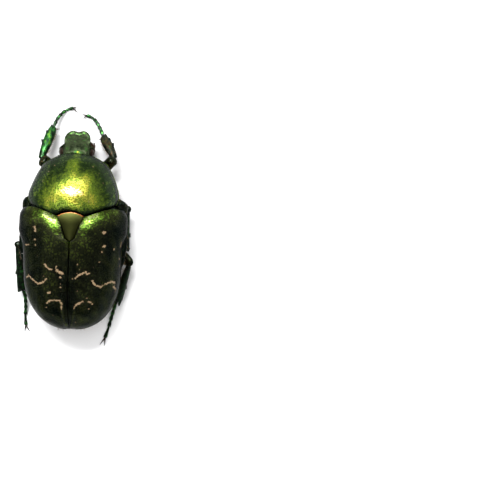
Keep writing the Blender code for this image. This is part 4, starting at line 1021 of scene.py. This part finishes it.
def make_mesepimera(beetle, material):
    """The flank plates that show between the fore shield's hind angles and the wing cases' shoulders."""
    for name, side in SIDES.items():
        points, faces = ball((0, 0, 0), (1, 1, 1), 72)
        shaped = np.sign(points) * np.abs(points) ** (0.55, 0.5, 0.6)
        x, y, z = shaped.T
        across = 0.82 * x - 0.3 * smoothstep(0.3, -1.0, z)
        along = SIDE_PLATE_REACH[name] * (1 + y) - 0.36 * x
        up = 0.92 * z - 0.24 * x * smoothstep(-0.2, 0.6, z)
        points = mirrored(np.stack([across, along, up], -1) + SIDE_PLATE_AT, side)
        points += 0.025 * ripple(points, 0.5, 45)[:, None]
        values = {"bright": 0.08 + 0.1 * ripple(points, 0.6, 46), "marks": 0.0}
        body = points, faces
        beetle.add(f"side_plate_{name}", body, material, "belly_bronze", [f"mesepimeron_{name}"], **values)


# Legs

LEGS = {
    "front_left": {
        "hip": (-1.9, 5.85, 1.42), "knee": (-3.7, 7.22, 2.75), "ankle": (-2.92, 10.95, 1.3),
        "foot": ((-2.73, 11.48, 1.1), (-2.54, 11.92, 0.85), (-2.2, 12.42, 0.55),
            (-1.7, 12.85, 0.2), (-0.96, 13.13, 0.16)),
        "claws": ((-0.49, 12.61, 0.1), (-0.6, 13.22, 0.1)), "spurs": ((-2.17, 10.76, 1.0),),
        "teeth": ((-4.12, 9.55, 1.95), (-3.68, 10.54, 1.5), (-3.1, 11.2, 1.3)),
    },
    "front_right": {
        "hip": (1.9, 5.88, 1.42), "knee": (3.6, 7.48, 2.85), "ankle": (2.38, 10.1, 1.3),
        "foot": ((2.17, 10.6, 1.1), (1.94, 11.06, 0.85), (1.53, 11.7, 0.55),
            (1.03, 12.13, 0.2), (0.4, 12.36, 0.16)),
        "claws": ((0.02, 11.98, 0.1), (-0.1, 12.46, 0.1)), "spurs": ((1.82, 9.72, 1.0),),
        "teeth": ((3.6, 9.44, 1.8), (3.14, 9.98, 1.5), (2.62, 10.4, 1.3)),
        "thigh_breadth": 0.88,
    },
    "middle_left": {
        "hip": (-2.5, 0.98, 1.3), "knee": (-4.75, 1.5, 2.45), "ankle": (-4.35, -2.2, 1.2),
        "foot": ((-4.25, -2.8, 1.0), (-4.15, -3.45, 0.75), (-4.1, -4.05, 0.45),
            (-4.12, -4.75, 0.2), (-4.2, -5.5, 0.16)),
        "claws": ((-3.9, -6.1, 0.1), (-4.5, -6.05, 0.1)), "spurs": ((-3.8, -2.5, 0.9), (-4.05, -2.75, 0.8)),
        "teeth": ((-5.1, -0.85, 1.7), (-4.85, -2.4, 1.15)),
    },
    "middle_right": {
        "hip": (2.5, 1.1, 1.3), "knee": (5.42, 2.4, 2.6), "ankle": (5.18, -1.95, 1.25),
        "foot": ((4.98, -2.55, 1.0), (4.75, -3.2, 0.75), (4.55, -3.82, 0.45),
            (4.42, -4.45, 0.2), (4.35, -5.2, 0.16)),
        "claws": ((4.05, -5.8, 0.1), (4.65, -5.76, 0.1)), "spurs": ((4.5, -2.25, 0.9), (4.75, -2.55, 0.8)),
        "teeth": ((5.74, -0.55, 1.75), (5.56, -2.1, 1.25)),
    },
    "hind_left": {
        "hip": (-1.35, -3.3, 1.3), "knee": (-6.1, -1.75, 2.65), "ankle": (-5.6, -6.6, 1.25),
        "foot": ((-5.34, -7.21, 1.05), (-5.3, -7.93, 0.8), (-5.31, -8.65, 0.5),
            (-5.36, -9.38, 0.2), (-5.25, -10.45, 0.16)),
        "claws": ((-4.81, -11.08, 0.1), (-5.4, -11.15, 0.1)),
        "spurs": ((-5.05, -6.95, 0.8), (-5.3, -7.3, 0.7)),
        "teeth": ((-6.36, -4.9, 1.85), (-6.12, -6.85, 1.2)),
        "shin_breadth": 1.12,
    },
    "hind_right": {
        "hip": (1.35, -3.45, 1.3), "knee": (5.77, -3.42, 2.65), "ankle": (4.47, -7.45, 1.25),
        "foot": ((4.26, -7.98, 1.05), (4.06, -8.7, 0.8), (3.84, -9.45, 0.5),
            (3.63, -10.25, 0.2), (3.25, -11.5, 0.16)),
        "claws": ((2.72, -12.25, 0.1), (3.25, -12.33, 0.1)), "spurs": ((3.92, -7.8, 0.8), (4.2, -8.15, 0.7)),
        "teeth": ((5.5, -6.1, 1.65), (4.72, -7.98, 1.2)),
        "thigh_breadth": 1.2, "thigh_bend": (0.5, 1.1, 0.0), "shin_breadth": 1.15,
    },
}
SHIN_OFFSET = {"front": 0.32, "middle": 0.0, "hind": 0.0}
THIGH_SIZE = {"front": (0.68, 0.54), "middle": (0.5, 0.42), "hind": (0.56, 0.4)}
SHIN_SIZE = {"front": (0.52, 0.3), "middle": (0.42, 0.3), "hind": (0.46, 0.32)}
SHIN_SHAPES = {
    "front": ((0.0, 0.56), (0.08, 0.66), (0.2, 0.8), (0.45, 0.98), (0.72, 1.0), (0.9, 0.84), (1.0, 0.6)),
    "middle": ((0.0, 0.5), (0.08, 0.58), (0.3, 0.72), (0.7, 0.95), (0.93, 1.08), (1.0, 0.8)),
    "hind": ((0.0, 0.5), (0.08, 0.58), (0.3, 0.72), (0.7, 0.95), (0.93, 1.04), (1.0, 0.74)),
}
# Painted light on each shin: how bright its colour is made, the left shins more than the right and the front
# ones most
SHIN_PAINTED_LIGHT = {
    "front_left": 1.0, "front_right": 0.75, "middle_left": 0.5, "middle_right": 0.4, "hind_left": 0.45,
    "hind_right": 0.3,
}
THIGH_FINENESS, SHIN_FINENESS = 0.035, 0.03
HIND_COXA_AT = (0.95, -3.45, 2.0)
COLLAR_SHAPE = ((0, 0.8), (0.5, 0.85), (1, 0.6))
SPIKE_SHAPE = ((0, 1.0), (0.3, 0.85), (0.7, 0.48), (1, 0.12))
TOOTH_SIZE, SPUR_SIZE, TOE_BRISTLE_SIZE = (0.3, 0.17), (0.085, 0.075), (0.03, 0.03)
ANKLE_SPINES, ANKLE_SPINE_SIZE, ANKLE_SPINE_LENGTH = 9, (0.06, 0.05), 0.24
TOE_SHARES = (0.0, 0.2, 0.37, 0.53, 0.69, 1.0)
TOE_SIZE = (0.13, 0.21)
FOOT_POINTS, FOOT_CLEARANCE = 400, 0.004
CLAW_SIZE, CLAW_ARCH = (0.105, 0.084), (0, 0, 0.1)


def unit(vector):
    return vector / np.linalg.norm(vector)


def spike(root, tip, size, bend=(0, 0, 0), broad=(0.31, 0.27, 0.91), count=24, sides=16):
    """A tapering point with a gently rounded tip."""
    root, tip = np.array(root), np.array(tip)
    sizes = [scaled(SPIKE_SHAPE, radius) for radius in size]
    return limb([root, (root + tip) / 2 + bend, tip], *sizes, broad, (0.02, 0.04), count, sides)


def make_thigh(beetle, leg, name, material):
    kind = name.split("_")[0]
    hip, knee = np.array(leg["hip"]), np.array(leg["knee"])
    way = unit(knee - hip)
    wide, thick = THIGH_SIZE[kind]
    wide *= leg.get("thigh_breadth", 1.0)
    end = 1.0 if kind == "front" else 0.82
    shape = ((0.0, 0.66), (0.15, 0.88), (0.4, 1.06), (0.72, 1.0), (0.88, end), (1.0, 0.85 * end))
    middle = (hip + knee) / 2 + leg.get("thigh_bend", (0, 0, 0))
    path = [hip - way * 0.15, middle, knee + way * 0.38]
    main = limb(path, scaled(shape, wide), scaled(shape, thick), (0, 1, 0), (0.07, 0.1), 80, 40)
    x, y, z = COXAE[kind][0] if kind in COXAE else HIND_COXA_AT
    joint = np.array((math.copysign(x, hip[0]), y, z - 0.25))
    path = [joint, (joint + hip) / 2 - (0, 0, 0.12), hip + way * 0.25]
    sizes = [scaled(COLLAR_SHAPE, size) for size in (wide, thick)]
    collar = limb(path, *sizes, (0, 1, 0), (0.15, 0.15), 40, 32)
    points, faces = fuse([main, collar], THIGH_FINENESS)
    from_knee = np.linalg.norm(points - (knee + way * 0.3 + (0, 0, thick * 0.75)), axis=1)
    values = {
        "bright": (0.24 if kind == "front" else 0.12) + 0.1 * ripple(points, 0.7, 51),
        "marks": smoothstep(0.2, 0.06, from_knee) * (kind != "front"),
    }
    beetle.add(f"thigh_{name}", (points, faces), material, "belly_bronze", [f"femur_{name}"], **values)


def make_shin(beetle, leg, name, material):
    """A shin with its outer teeth and inner spurs, and on the middle and hind legs a ring of spines."""
    kind = name.split("_")[0]
    knee, ankle = np.array(leg["knee"]), np.array(leg["ankle"])
    way = unit(ankle - knee)
    outward = np.array(leg["teeth"][0]) - knee
    outward = unit(outward - way * (outward @ way))
    wide, thick = SHIN_SIZE[kind]
    wide *= leg.get("shin_breadth", 1.0)
    start = knee + way * 0.12 + outward * SHIN_OFFSET[kind]
    way, length = unit(ankle - start), np.linalg.norm(ankle - start)
    through = np.cross(way, outward)
    up = through * math.copysign(1, through[2])
    broad = scaled(SHIN_SHAPES[kind], wide)
    sizes = broad, curve(*((share, thick * (0.55 + 0.45 * size)) for share, size in SHIN_SHAPES[kind]))
    path = [start, (start + ankle) / 2 + 0.1 * unit(up), ankle]
    parts = [limb(path, *sizes, outward, (0.03, 0.03), 110, 40, 1.7)]
    for tip in leg["teeth"]:
        along = min((tip - start) @ way - 0.28, length - 0.2)
        root = start + way * along + outward * broad(along / length) * 0.55
        parts.append(spike(root, tip, TOOTH_SIZE, -outward * 0.02, way))
    for tip in leg["spurs"]:
        parts.append(spike(start + way * length * 0.93 - outward * wide * 0.45, tip, SPUR_SIZE))
    for turn in np.linspace(0.15, 2 * math.pi, ANKLE_SPINES, endpoint=False) if kind != "front" else ():
        side = outward * math.cos(turn) * wide + through * math.sin(turn) * thick
        root = start + way * length * 0.97 + side * 0.8
        tip = root + way * ANKLE_SPINE_LENGTH + side * 0.25
        parts.append(spike(root, tip, ANKLE_SPINE_SIZE, count=10, sides=8))
    points, faces = fuse(parts, SHIN_FINENESS)
    # Painted highlight: the shin's upper side is coloured brighter, scaled by the shin's painted light
    lit = smoothstep(-0.1, 0.9 * thick, (points - knee) @ up - 0.2)
    bright = (0.15 + 0.6 * lit + 0.25 * ripple(points, 0.5, 52)) * SHIN_PAINTED_LIGHT[name]
    beetle.add(f"shin_{name}", (points, faces), material, "leg_green", [f"tibia_{name}"], bright=bright)


def make_foot(beetle, leg, name, shell, claw_material):
    """Five joints, each widening to an end with two bristles, and two curved claws."""
    line = spline([leg["ankle"], *leg["foot"]], FOOT_POINTS)
    parts = []
    narrow, wide = TOE_SIZE
    for first, last in zip(TOE_SHARES[:-1], TOE_SHARES[1:]):
        start, end = (int(round(share * (FOOT_POINTS - 1))) for share in (max(first - 0.02, 0), last))
        path = line[start : end + 1 : 8]
        shape = ((0, narrow), (0.45, 0.5 * (narrow + wide)), (0.86, wide), (1, wide * 0.8))
        if last == 1.0:
            shape = ((0, narrow * 0.85), (0.5, narrow * 1.15), (0.86, wide * 0.95), (1, wide * 0.8))
        parts.append(limb(path, curve(*shape), scaled(shape, 0.9), (1, 0.2, 0), (0.05, 0.09), 34, 24))
        way = unit(path[-1] - path[-3])
        for turn in (-1, 1) if last < 1.0 else ():
            side = unit(np.cross(way, (0, 0, 1))) * turn * wide * 0.7
            root = path[-1] - way * 0.06 + side - (0, 0, wide * 0.45)
            tip = root + way * 0.16 + side * 0.35
            parts.append(spike(root, tip, TOE_BRISTLE_SIZE, count=10, sides=8))
    points, faces = join(parts)
    points[:, 2] = np.maximum(points[:, 2], FOOT_CLEARANCE)
    bright = 0.3 + 0.22 * ripple(points, 0.5, 54)
    beetle.add(f"foot_{name}", (points, faces), shell, "leg_green", [f"tarsus_{name}"], bright=bright)
    root = line[-1] + unit(line[-20] - line[-1]) * 0.12
    claws = join([spike(root, tip, CLAW_SIZE, CLAW_ARCH, count=30) for tip in leg["claws"]])
    beetle.add(f"claws_{name}", claws, claw_material, "leg_green", [f"tarsus_{name}"])


def make_legs(beetle, looks):
    for name, leg in LEGS.items():
        shin_look = looks["leg_dull_bronze" if name == "front_right" else "leg_green"]
        make_thigh(beetle, leg, name, looks["belly_bronze"])
        make_shin(beetle, leg, name, shin_look)
        make_foot(beetle, leg, name, looks["leg_green"], looks["claw_brown"])


# Hair: stiff hairs on the underside, the legs and the jaws

HAIR_SIDES, HAIR_RADIUS, HAIR_BEND = 3, 0.012, 0.4
HAIR_SHARES, HAIR_SIZES = (-0.06, 0.35, 0.7, 1.0), (1.0, 0.85, 0.55, 0.1)
HAIR_SEED, HAIR_PATCH = 71, 0.003
TRUNK_HAIR = (
    ("breastplate", 420, 0.4), ("breast", 340, 0.42), ("tail_plate", 120, 0.3),
    ("hip_plate_left", 90, 0.3), ("hip_plate_right", 90, 0.3),
    ("hip_front_left", 40, 0.35), ("hip_front_right", 40, 0.35), ("mouth", 90, 0.28),
    *((f"belly_ring_{ring}", 110, 0.26) for ring in range(1, 6)),
)
LEG_HAIR = (("thigh", 90, 0.3), ("shin", 110, 0.34))
TRUNK_MIDDLE_HEIGHT, TRUNK_REAR, TRUNK_LENGTH = 4.2, -10.6, 21.4


def surface_of(beetle, name):
    """Points and normals of a piece, in millimetres from the beetle's centre."""
    mesh = bpy.data.objects[name].data
    points, normals = (np.zeros(len(mesh.vertices) * 3, np.float32) for _ in range(2))
    mesh.vertices.foreach_get("co", points)
    mesh.vertices.foreach_get("normal", normals)
    return points.reshape(-1, 3) / MM - beetle.at, normals.reshape(-1, 3).astype(float)


def hair_body(roots, ways, lengths, sweep):
    """(points, faces) of tapering hairs that start a little under the skin and bend along sweep."""
    side = np.cross(ways, (0.36, 0.48, 0.8))
    side /= np.linalg.norm(side, axis=1, keepdims=True)
    other = np.cross(ways, side)
    rings = []
    for share, size in zip(HAIR_SHARES, HAIR_SIZES):
        bend = HAIR_BEND * max(share, 0) ** 2
        centre = roots + ways * (lengths * share)[:, None] + sweep * (lengths * bend)[:, None]
        for k in range(HAIR_SIDES):
            turn = 2 * math.pi * k / HAIR_SIDES
            rings.append(centre + (side * math.cos(turn) + other * math.sin(turn)) * HAIR_RADIUS * size)
    points = np.stack(rings, 1)
    per_hair = points.shape[1]
    faces = grid_faces(len(HAIR_SHARES), HAIR_SIDES, wrap=True).tolist()
    faces += [list(range(HAIR_SIDES)), list(range(per_hair - HAIR_SIDES, per_hair))]
    every = [[i + hair * per_hair for i in face] for hair in range(len(roots)) for face in faces]
    return points.reshape(-1, 3), every


def add_hair(beetle, name, slot, material, tufts):
    """One piece of hair. tufts lists roots, ways, lengths, sweeps and places on the unwrapped skin."""
    *hairs, places = (np.concatenate(part) for part in zip(*tufts))
    body = hair_body(*hairs)
    piece = beetle.add(name, body, material, slot)
    per_hair = len(body[0]) // len(places)
    level, turn = np.divmod(np.arange(per_hair), HAIR_SIDES)
    offset = np.stack([turn / HAIR_SIDES, level / len(HAIR_SHARES)], -1) * HAIR_PATCH
    spread = (places[:, None] + offset[None]).reshape(-1, 2)
    corners = np.zeros(len(piece.data.loops), np.int32)
    piece.data.loops.foreach_get("vertex_index", corners)
    layer = piece.data.uv_layers.new(name="OFBake")
    layer.data.foreach_set("uv", np.clip(spread[corners], 0, 1).astype(np.float32).ravel())


def grow(points, normals, chosen, count, length, lean, rng):
    """Chosen points of a surface, and the roots, ways, lengths and sweeps of hairs there, bent along lean."""
    at = rng.choice(np.flatnonzero(chosen), count)
    ways = normals[at] * 0.75 + np.asarray(lean) * 0.6 + rng.normal(size=(count, 3)) * 0.2
    ways /= np.linalg.norm(ways, axis=1, keepdims=True)
    sweep = np.broadcast_to(np.asarray(lean, float), (count, 3))
    return at, (points[at], ways, length * rng.uniform(0.55, 1.1, count), sweep)


def make_hair(beetle, material):
    rng = np.random.default_rng(HAIR_SEED)
    tufts = []
    for name, count, length in TRUNK_HAIR:
        points, normals = surface_of(beetle, name)
        lean = (0, 1, -0.3) if name == "mouth" else (0, -1, 0)
        chosen = (normals[:, 2] < -0.05) & (points[:, 2] > 1.2)
        at, tuft = grow(points, normals, chosen, count, length, lean, rng)
        turn = np.arctan2(points[at, 0], TRUNK_MIDDLE_HEIGHT - points[at, 2]) / (2 * math.pi)
        along = (points[at, 1] - TRUNK_REAR) / TRUNK_LENGTH
        tufts.append((*tuft, np.stack([0.5 + turn, along], -1)))
    add_hair(beetle, "trunk_hair", "belly_bronze", material, tufts)
    tufts = []
    for leg_name, leg in LEGS.items():
        hip, knee, ankle = (np.array(leg[key]) for key in ("hip", "knee", "ankle"))
        for part, count, length in LEG_HAIR:
            start, end = (hip, knee) if part == "thigh" else (knee, ankle)
            points, normals = surface_of(beetle, f"{part}_{leg_name}")
            way = unit(end - start)
            inner = (-math.copysign(0.8, knee[0]), 0, -0.4) if part == "shin" else (0, 0, -1)
            share = (points - start) @ way / np.linalg.norm(end - start)
            chosen = (normals @ inner > 0.45) & (share > 0.12) & (share < 0.92)
            at, tuft = grow(points, normals, chosen, count, length, way, rng)
            across = unit(np.cross(way, (0, 0, 1)))
            off = points[at] - start
            turn = np.arctan2(off @ across, off @ np.cross(way, across)) / (2 * math.pi) + 0.5
            column = (len(tufts) + 0.05 + 0.9 * turn) / (len(LEGS) * len(LEG_HAIR))
            tufts.append((*tuft, np.stack([column, np.clip(share[at], 0, 0.99)], -1)))
    add_hair(beetle, "leg_hair", "leg_green", material, tufts)


# Camera, floor and light

FLOOR_HALF_WIDTH, FLOOR_GAP = 0.25, 0.00002
SKY_COLOURS = (0.15, 0.15, 0.155), (0.1, 0.1, 0.1)


def make_camera(beetle):
    camera = bpy.data.cameras.new("camera")
    camera.sensor_width = SENSOR_MM
    camera.lens = PHOTO_FOCAL_PIXELS * SENSOR_MM / PHOTO_WIDTH
    camera.clip_start = 0.001
    holder = bpy.data.objects.new("camera", camera)
    at = (np.array([*CAMERA_OVER, CAMERA_HEIGHT]) + beetle.at) * MM
    holder.matrix_world = Matrix.Translation(at) @ Matrix.Rotation(CAMERA_TURN, 4, "Z")
    bpy.context.scene.collection.objects.link(holder)
    bpy.context.scene.camera = holder


def make_floor():
    mesh = bpy.data.meshes.new("floor")
    corners = np.array(((-1, -1, 0), (1, -1, 0), (1, 1, 0), (-1, 1, 0))) * FLOOR_HALF_WIDTH
    mesh.from_pydata(corners.tolist(), [], [(0, 1, 2, 3)])
    floor = bpy.data.objects.new("floor", mesh)
    floor.location.z = -FLOOR_GAP
    bpy.context.scene.collection.objects.link(floor)
    material = bpy.data.materials.new("floor_paper")
    look = Look(material)
    look.shade(roughness=0.9, base_color=look.blend(look.noise(8.0), (0.86, 0.86, 0.87), (0.9, 0.9, 0.9)))
    mesh.materials.append(material)


def area_light(name, shape, at, size, power):
    """A flat light at a place in metres, turned to the frame's origin."""
    light = bpy.data.lights.new(name, "AREA")
    light.shape = shape
    light.size, light.size_y = size
    light.energy = power
    holder = bpy.data.objects.new(name, light)
    holder.location = at
    holder.rotation_euler = (-Vector(at)).to_track_quat("-Z", "Y").to_euler()
    bpy.context.scene.collection.objects.link(holder)
    return holder


def make_light():
    """A wide soft box beyond the head, and a weak light from overhead that only softens the shadow."""
    area_light("key", "ELLIPSE", (-0.07, 0.28, 0.52), (0.32, 0.1), 4.5)
    area_light("fill", "RECTANGLE", (0, 0, 1.0), (1.2, 1.2), 13.0).visible_glossy = False
    world = bpy.data.worlds.new("studio")
    bpy.context.scene.world = world
    look = Look(world)
    split = look.nodes.new("ShaderNodeSeparateXYZ")
    look.links.new(look.nodes.new("ShaderNodeTexCoord").outputs["Generated"], split.inputs[0])
    height = Signal(look, split.outputs["Z"]).stretch(0.0, 0.3)
    seen = Signal(look, look.nodes.new("ShaderNodeLightPath").outputs["Is Camera Ray"])
    sky = look.blend(seen, look.blend(height, *SKY_COLOURS), (1.0, 1.0, 1.0))
    look.feed(look.nodes["Background"].inputs["Color"], sky)
    bpy.context.scene.view_settings.view_transform = "Standard"


# Metallic materials: the colours that their brightness leads through, and their other values
METALS = {
    # The brightest colours of the fore shield, wing cases, head and green legs stand for painted highlights
    "shield_green": (
        (
            (0, (0.006, 0.012, 0.006)), (0.2, (0.03, 0.055, 0.016)), (0.46, (0.22, 0.33, 0.035)),
            (0.72, (0.72, 0.68, 0.08)), (0.88, (0.97, 0.76, 0.16)), (1, (1.0, 0.88, 0.45)),
        ),
        dict(spacing=0.165, pit_depth=0.04, roughness=0.36, unrolled=True, pit_shade=0.9, marks=True,
             coat=0.2, glitter=0.35, patch=0.24, edge_tint=(0.22, 0.25, 0.22), flecks=0.06, unevenness=0.05),
    ),
    "scutellum_green": (
        ((0, (0.03, 0.036, 0.01)), (0.45, (0.05, 0.055, 0.014)), (0.9, (0.5, 0.14, 0.04))),
        dict(spacing=0.35, pit_depth=0.001, roughness=0.36, unrolled=True, pit_shade=0.0, coat=0.1),
    ),
    "case_green": (
        (
            (0, (0.005, 0.008, 0.007)), (0.2, (0.033, 0.038, 0.015)), (0.38, (0.075, 0.105, 0.02)),
            (0.62, (0.2, 0.42, 0.04)), (0.82, (0.55, 0.8, 0.12)), (1, (0.85, 1.0, 0.4)),
        ),
        dict(spacing=0.14, pit_depth=0.04, unrolled=True, pit_shade=0.85, stretched=1.15, marks=True,
             coat=0.05, glitter=0.6, patch=0.2, flecks=0.13, unevenness=0.06),
    ),
    "head_green": (
        (
            (0, (0.012, 0.016, 0.01)), (0.14, (0.03, 0.045, 0.02)), (0.28, (0.075, 0.1, 0.05)),
            (0.42, (0.085, 0.125, 0.05)), (0.6, (0.07, 0.24, 0.05)), (0.78, (0.24, 0.4, 0.05)),
            (1, (0.7, 0.55, 0.06)),
        ),
        dict(spacing=0.16, pit_depth=0.03, roughness=0.42, glitter=0.5, patch=0.25, flecks=0.1,
             unevenness=0.06),
    ),
    "belly_bronze": (
        (
            (0, (0.01, 0.018, 0.012)), (0.28, (0.026, 0.03, 0.014)), (0.45, (0.07, 0.065, 0.025)),
            (0.65, (0.18, 0.1, 0.04)), (1, (0.38, 0.2, 0.08)),
        ),
        dict(spacing=0.19, pit_depth=0.03, roughness=0.36, marks=True, coat=0.12, glitter=0.6, patch=0.35,
             flecks=0.12, edge_tint=(0.3, 0.3, 0.28)),
    ),
    "leg_green": (
        (
            (0, (0.02, 0.022, 0.02)), (0.35, (0.03, 0.07, 0.03)), (0.7, (0.06, 0.3, 0.06)),
            (1, (0.25, 0.55, 0.06)),
        ),
        dict(spacing=0.18, pit_depth=0.03, roughness=0.36, glitter=0.6, coat=0.15, patch=0.3),
    ),
    # A duller grey-brown bronze, used for the front right shin
    "leg_dull_bronze": (
        (
            (0, (0.01, 0.016, 0.012)), (0.3, (0.05, 0.06, 0.045)), (0.6, (0.11, 0.07, 0.035)),
            (1, (0.08, 0.22, 0.07)),
        ),
        dict(spacing=0.2, pit_depth=0.035, roughness=0.36, glitter=0.5, patch=0.4, edge_tint=(0.3, 0.3, 0.28),
             unevenness=0.5),
    ),
}
# Plain chitin: dark and bright colour, roughness, pit spacing and depth, patch size and sheen
GLOSSES = {
    "eye_brown": ((0.006, 0.004, 0.003), (0.016, 0.008, 0.005), 0.3, 0.06, 0.006, 0.3, (1.0, 0.75, 0.6)),
    "feeler_brown": ((0.01, 0.006, 0.004), (0.045, 0.02, 0.01), 0.34, 0.1, 0.012, 0.2, (1.0, 0.8, 0.65)),
    "claw_brown": ((0.008, 0.006, 0.005), (0.025, 0.014, 0.008), 0.3, 0.1, 0.006, 0.3),
    "hair_tan": ((0.14, 0.09, 0.05), (0.32, 0.23, 0.13), 0.45, 0.1, 0.002, 0.5),
}


def main():
    """Makes every piece in place of its node."""
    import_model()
    beetle = Beetle()
    make_camera(beetle)
    make_floor()
    make_light()
    looks = {name: metal_shell(name, colours, **values) for name, (colours, values) in METALS.items()}
    looks.update({name: gloss_shell(name, *values) for name, values in GLOSSES.items()})
    make_shield(beetle, looks["shield_green"])
    make_scutellum(beetle, looks["scutellum_green"])
    make_wing_cases(beetle, looks["case_green"])
    make_head(beetle, looks["head_green"])
    make_eyes(beetle, looks["eye_brown"])
    for make in (make_feelers, make_mouth):
        make(beetle, looks["feeler_brown"])
    for make in (
        make_thorax, make_hind_coxae, make_belly, make_pygidium, make_breast, make_coxae, make_mesepimera,
    ):
        make(beetle, looks["belly_bronze"])
    make_legs(beetle, looks)
    make_hair(beetle, looks["hair_tan"])
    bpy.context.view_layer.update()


main()
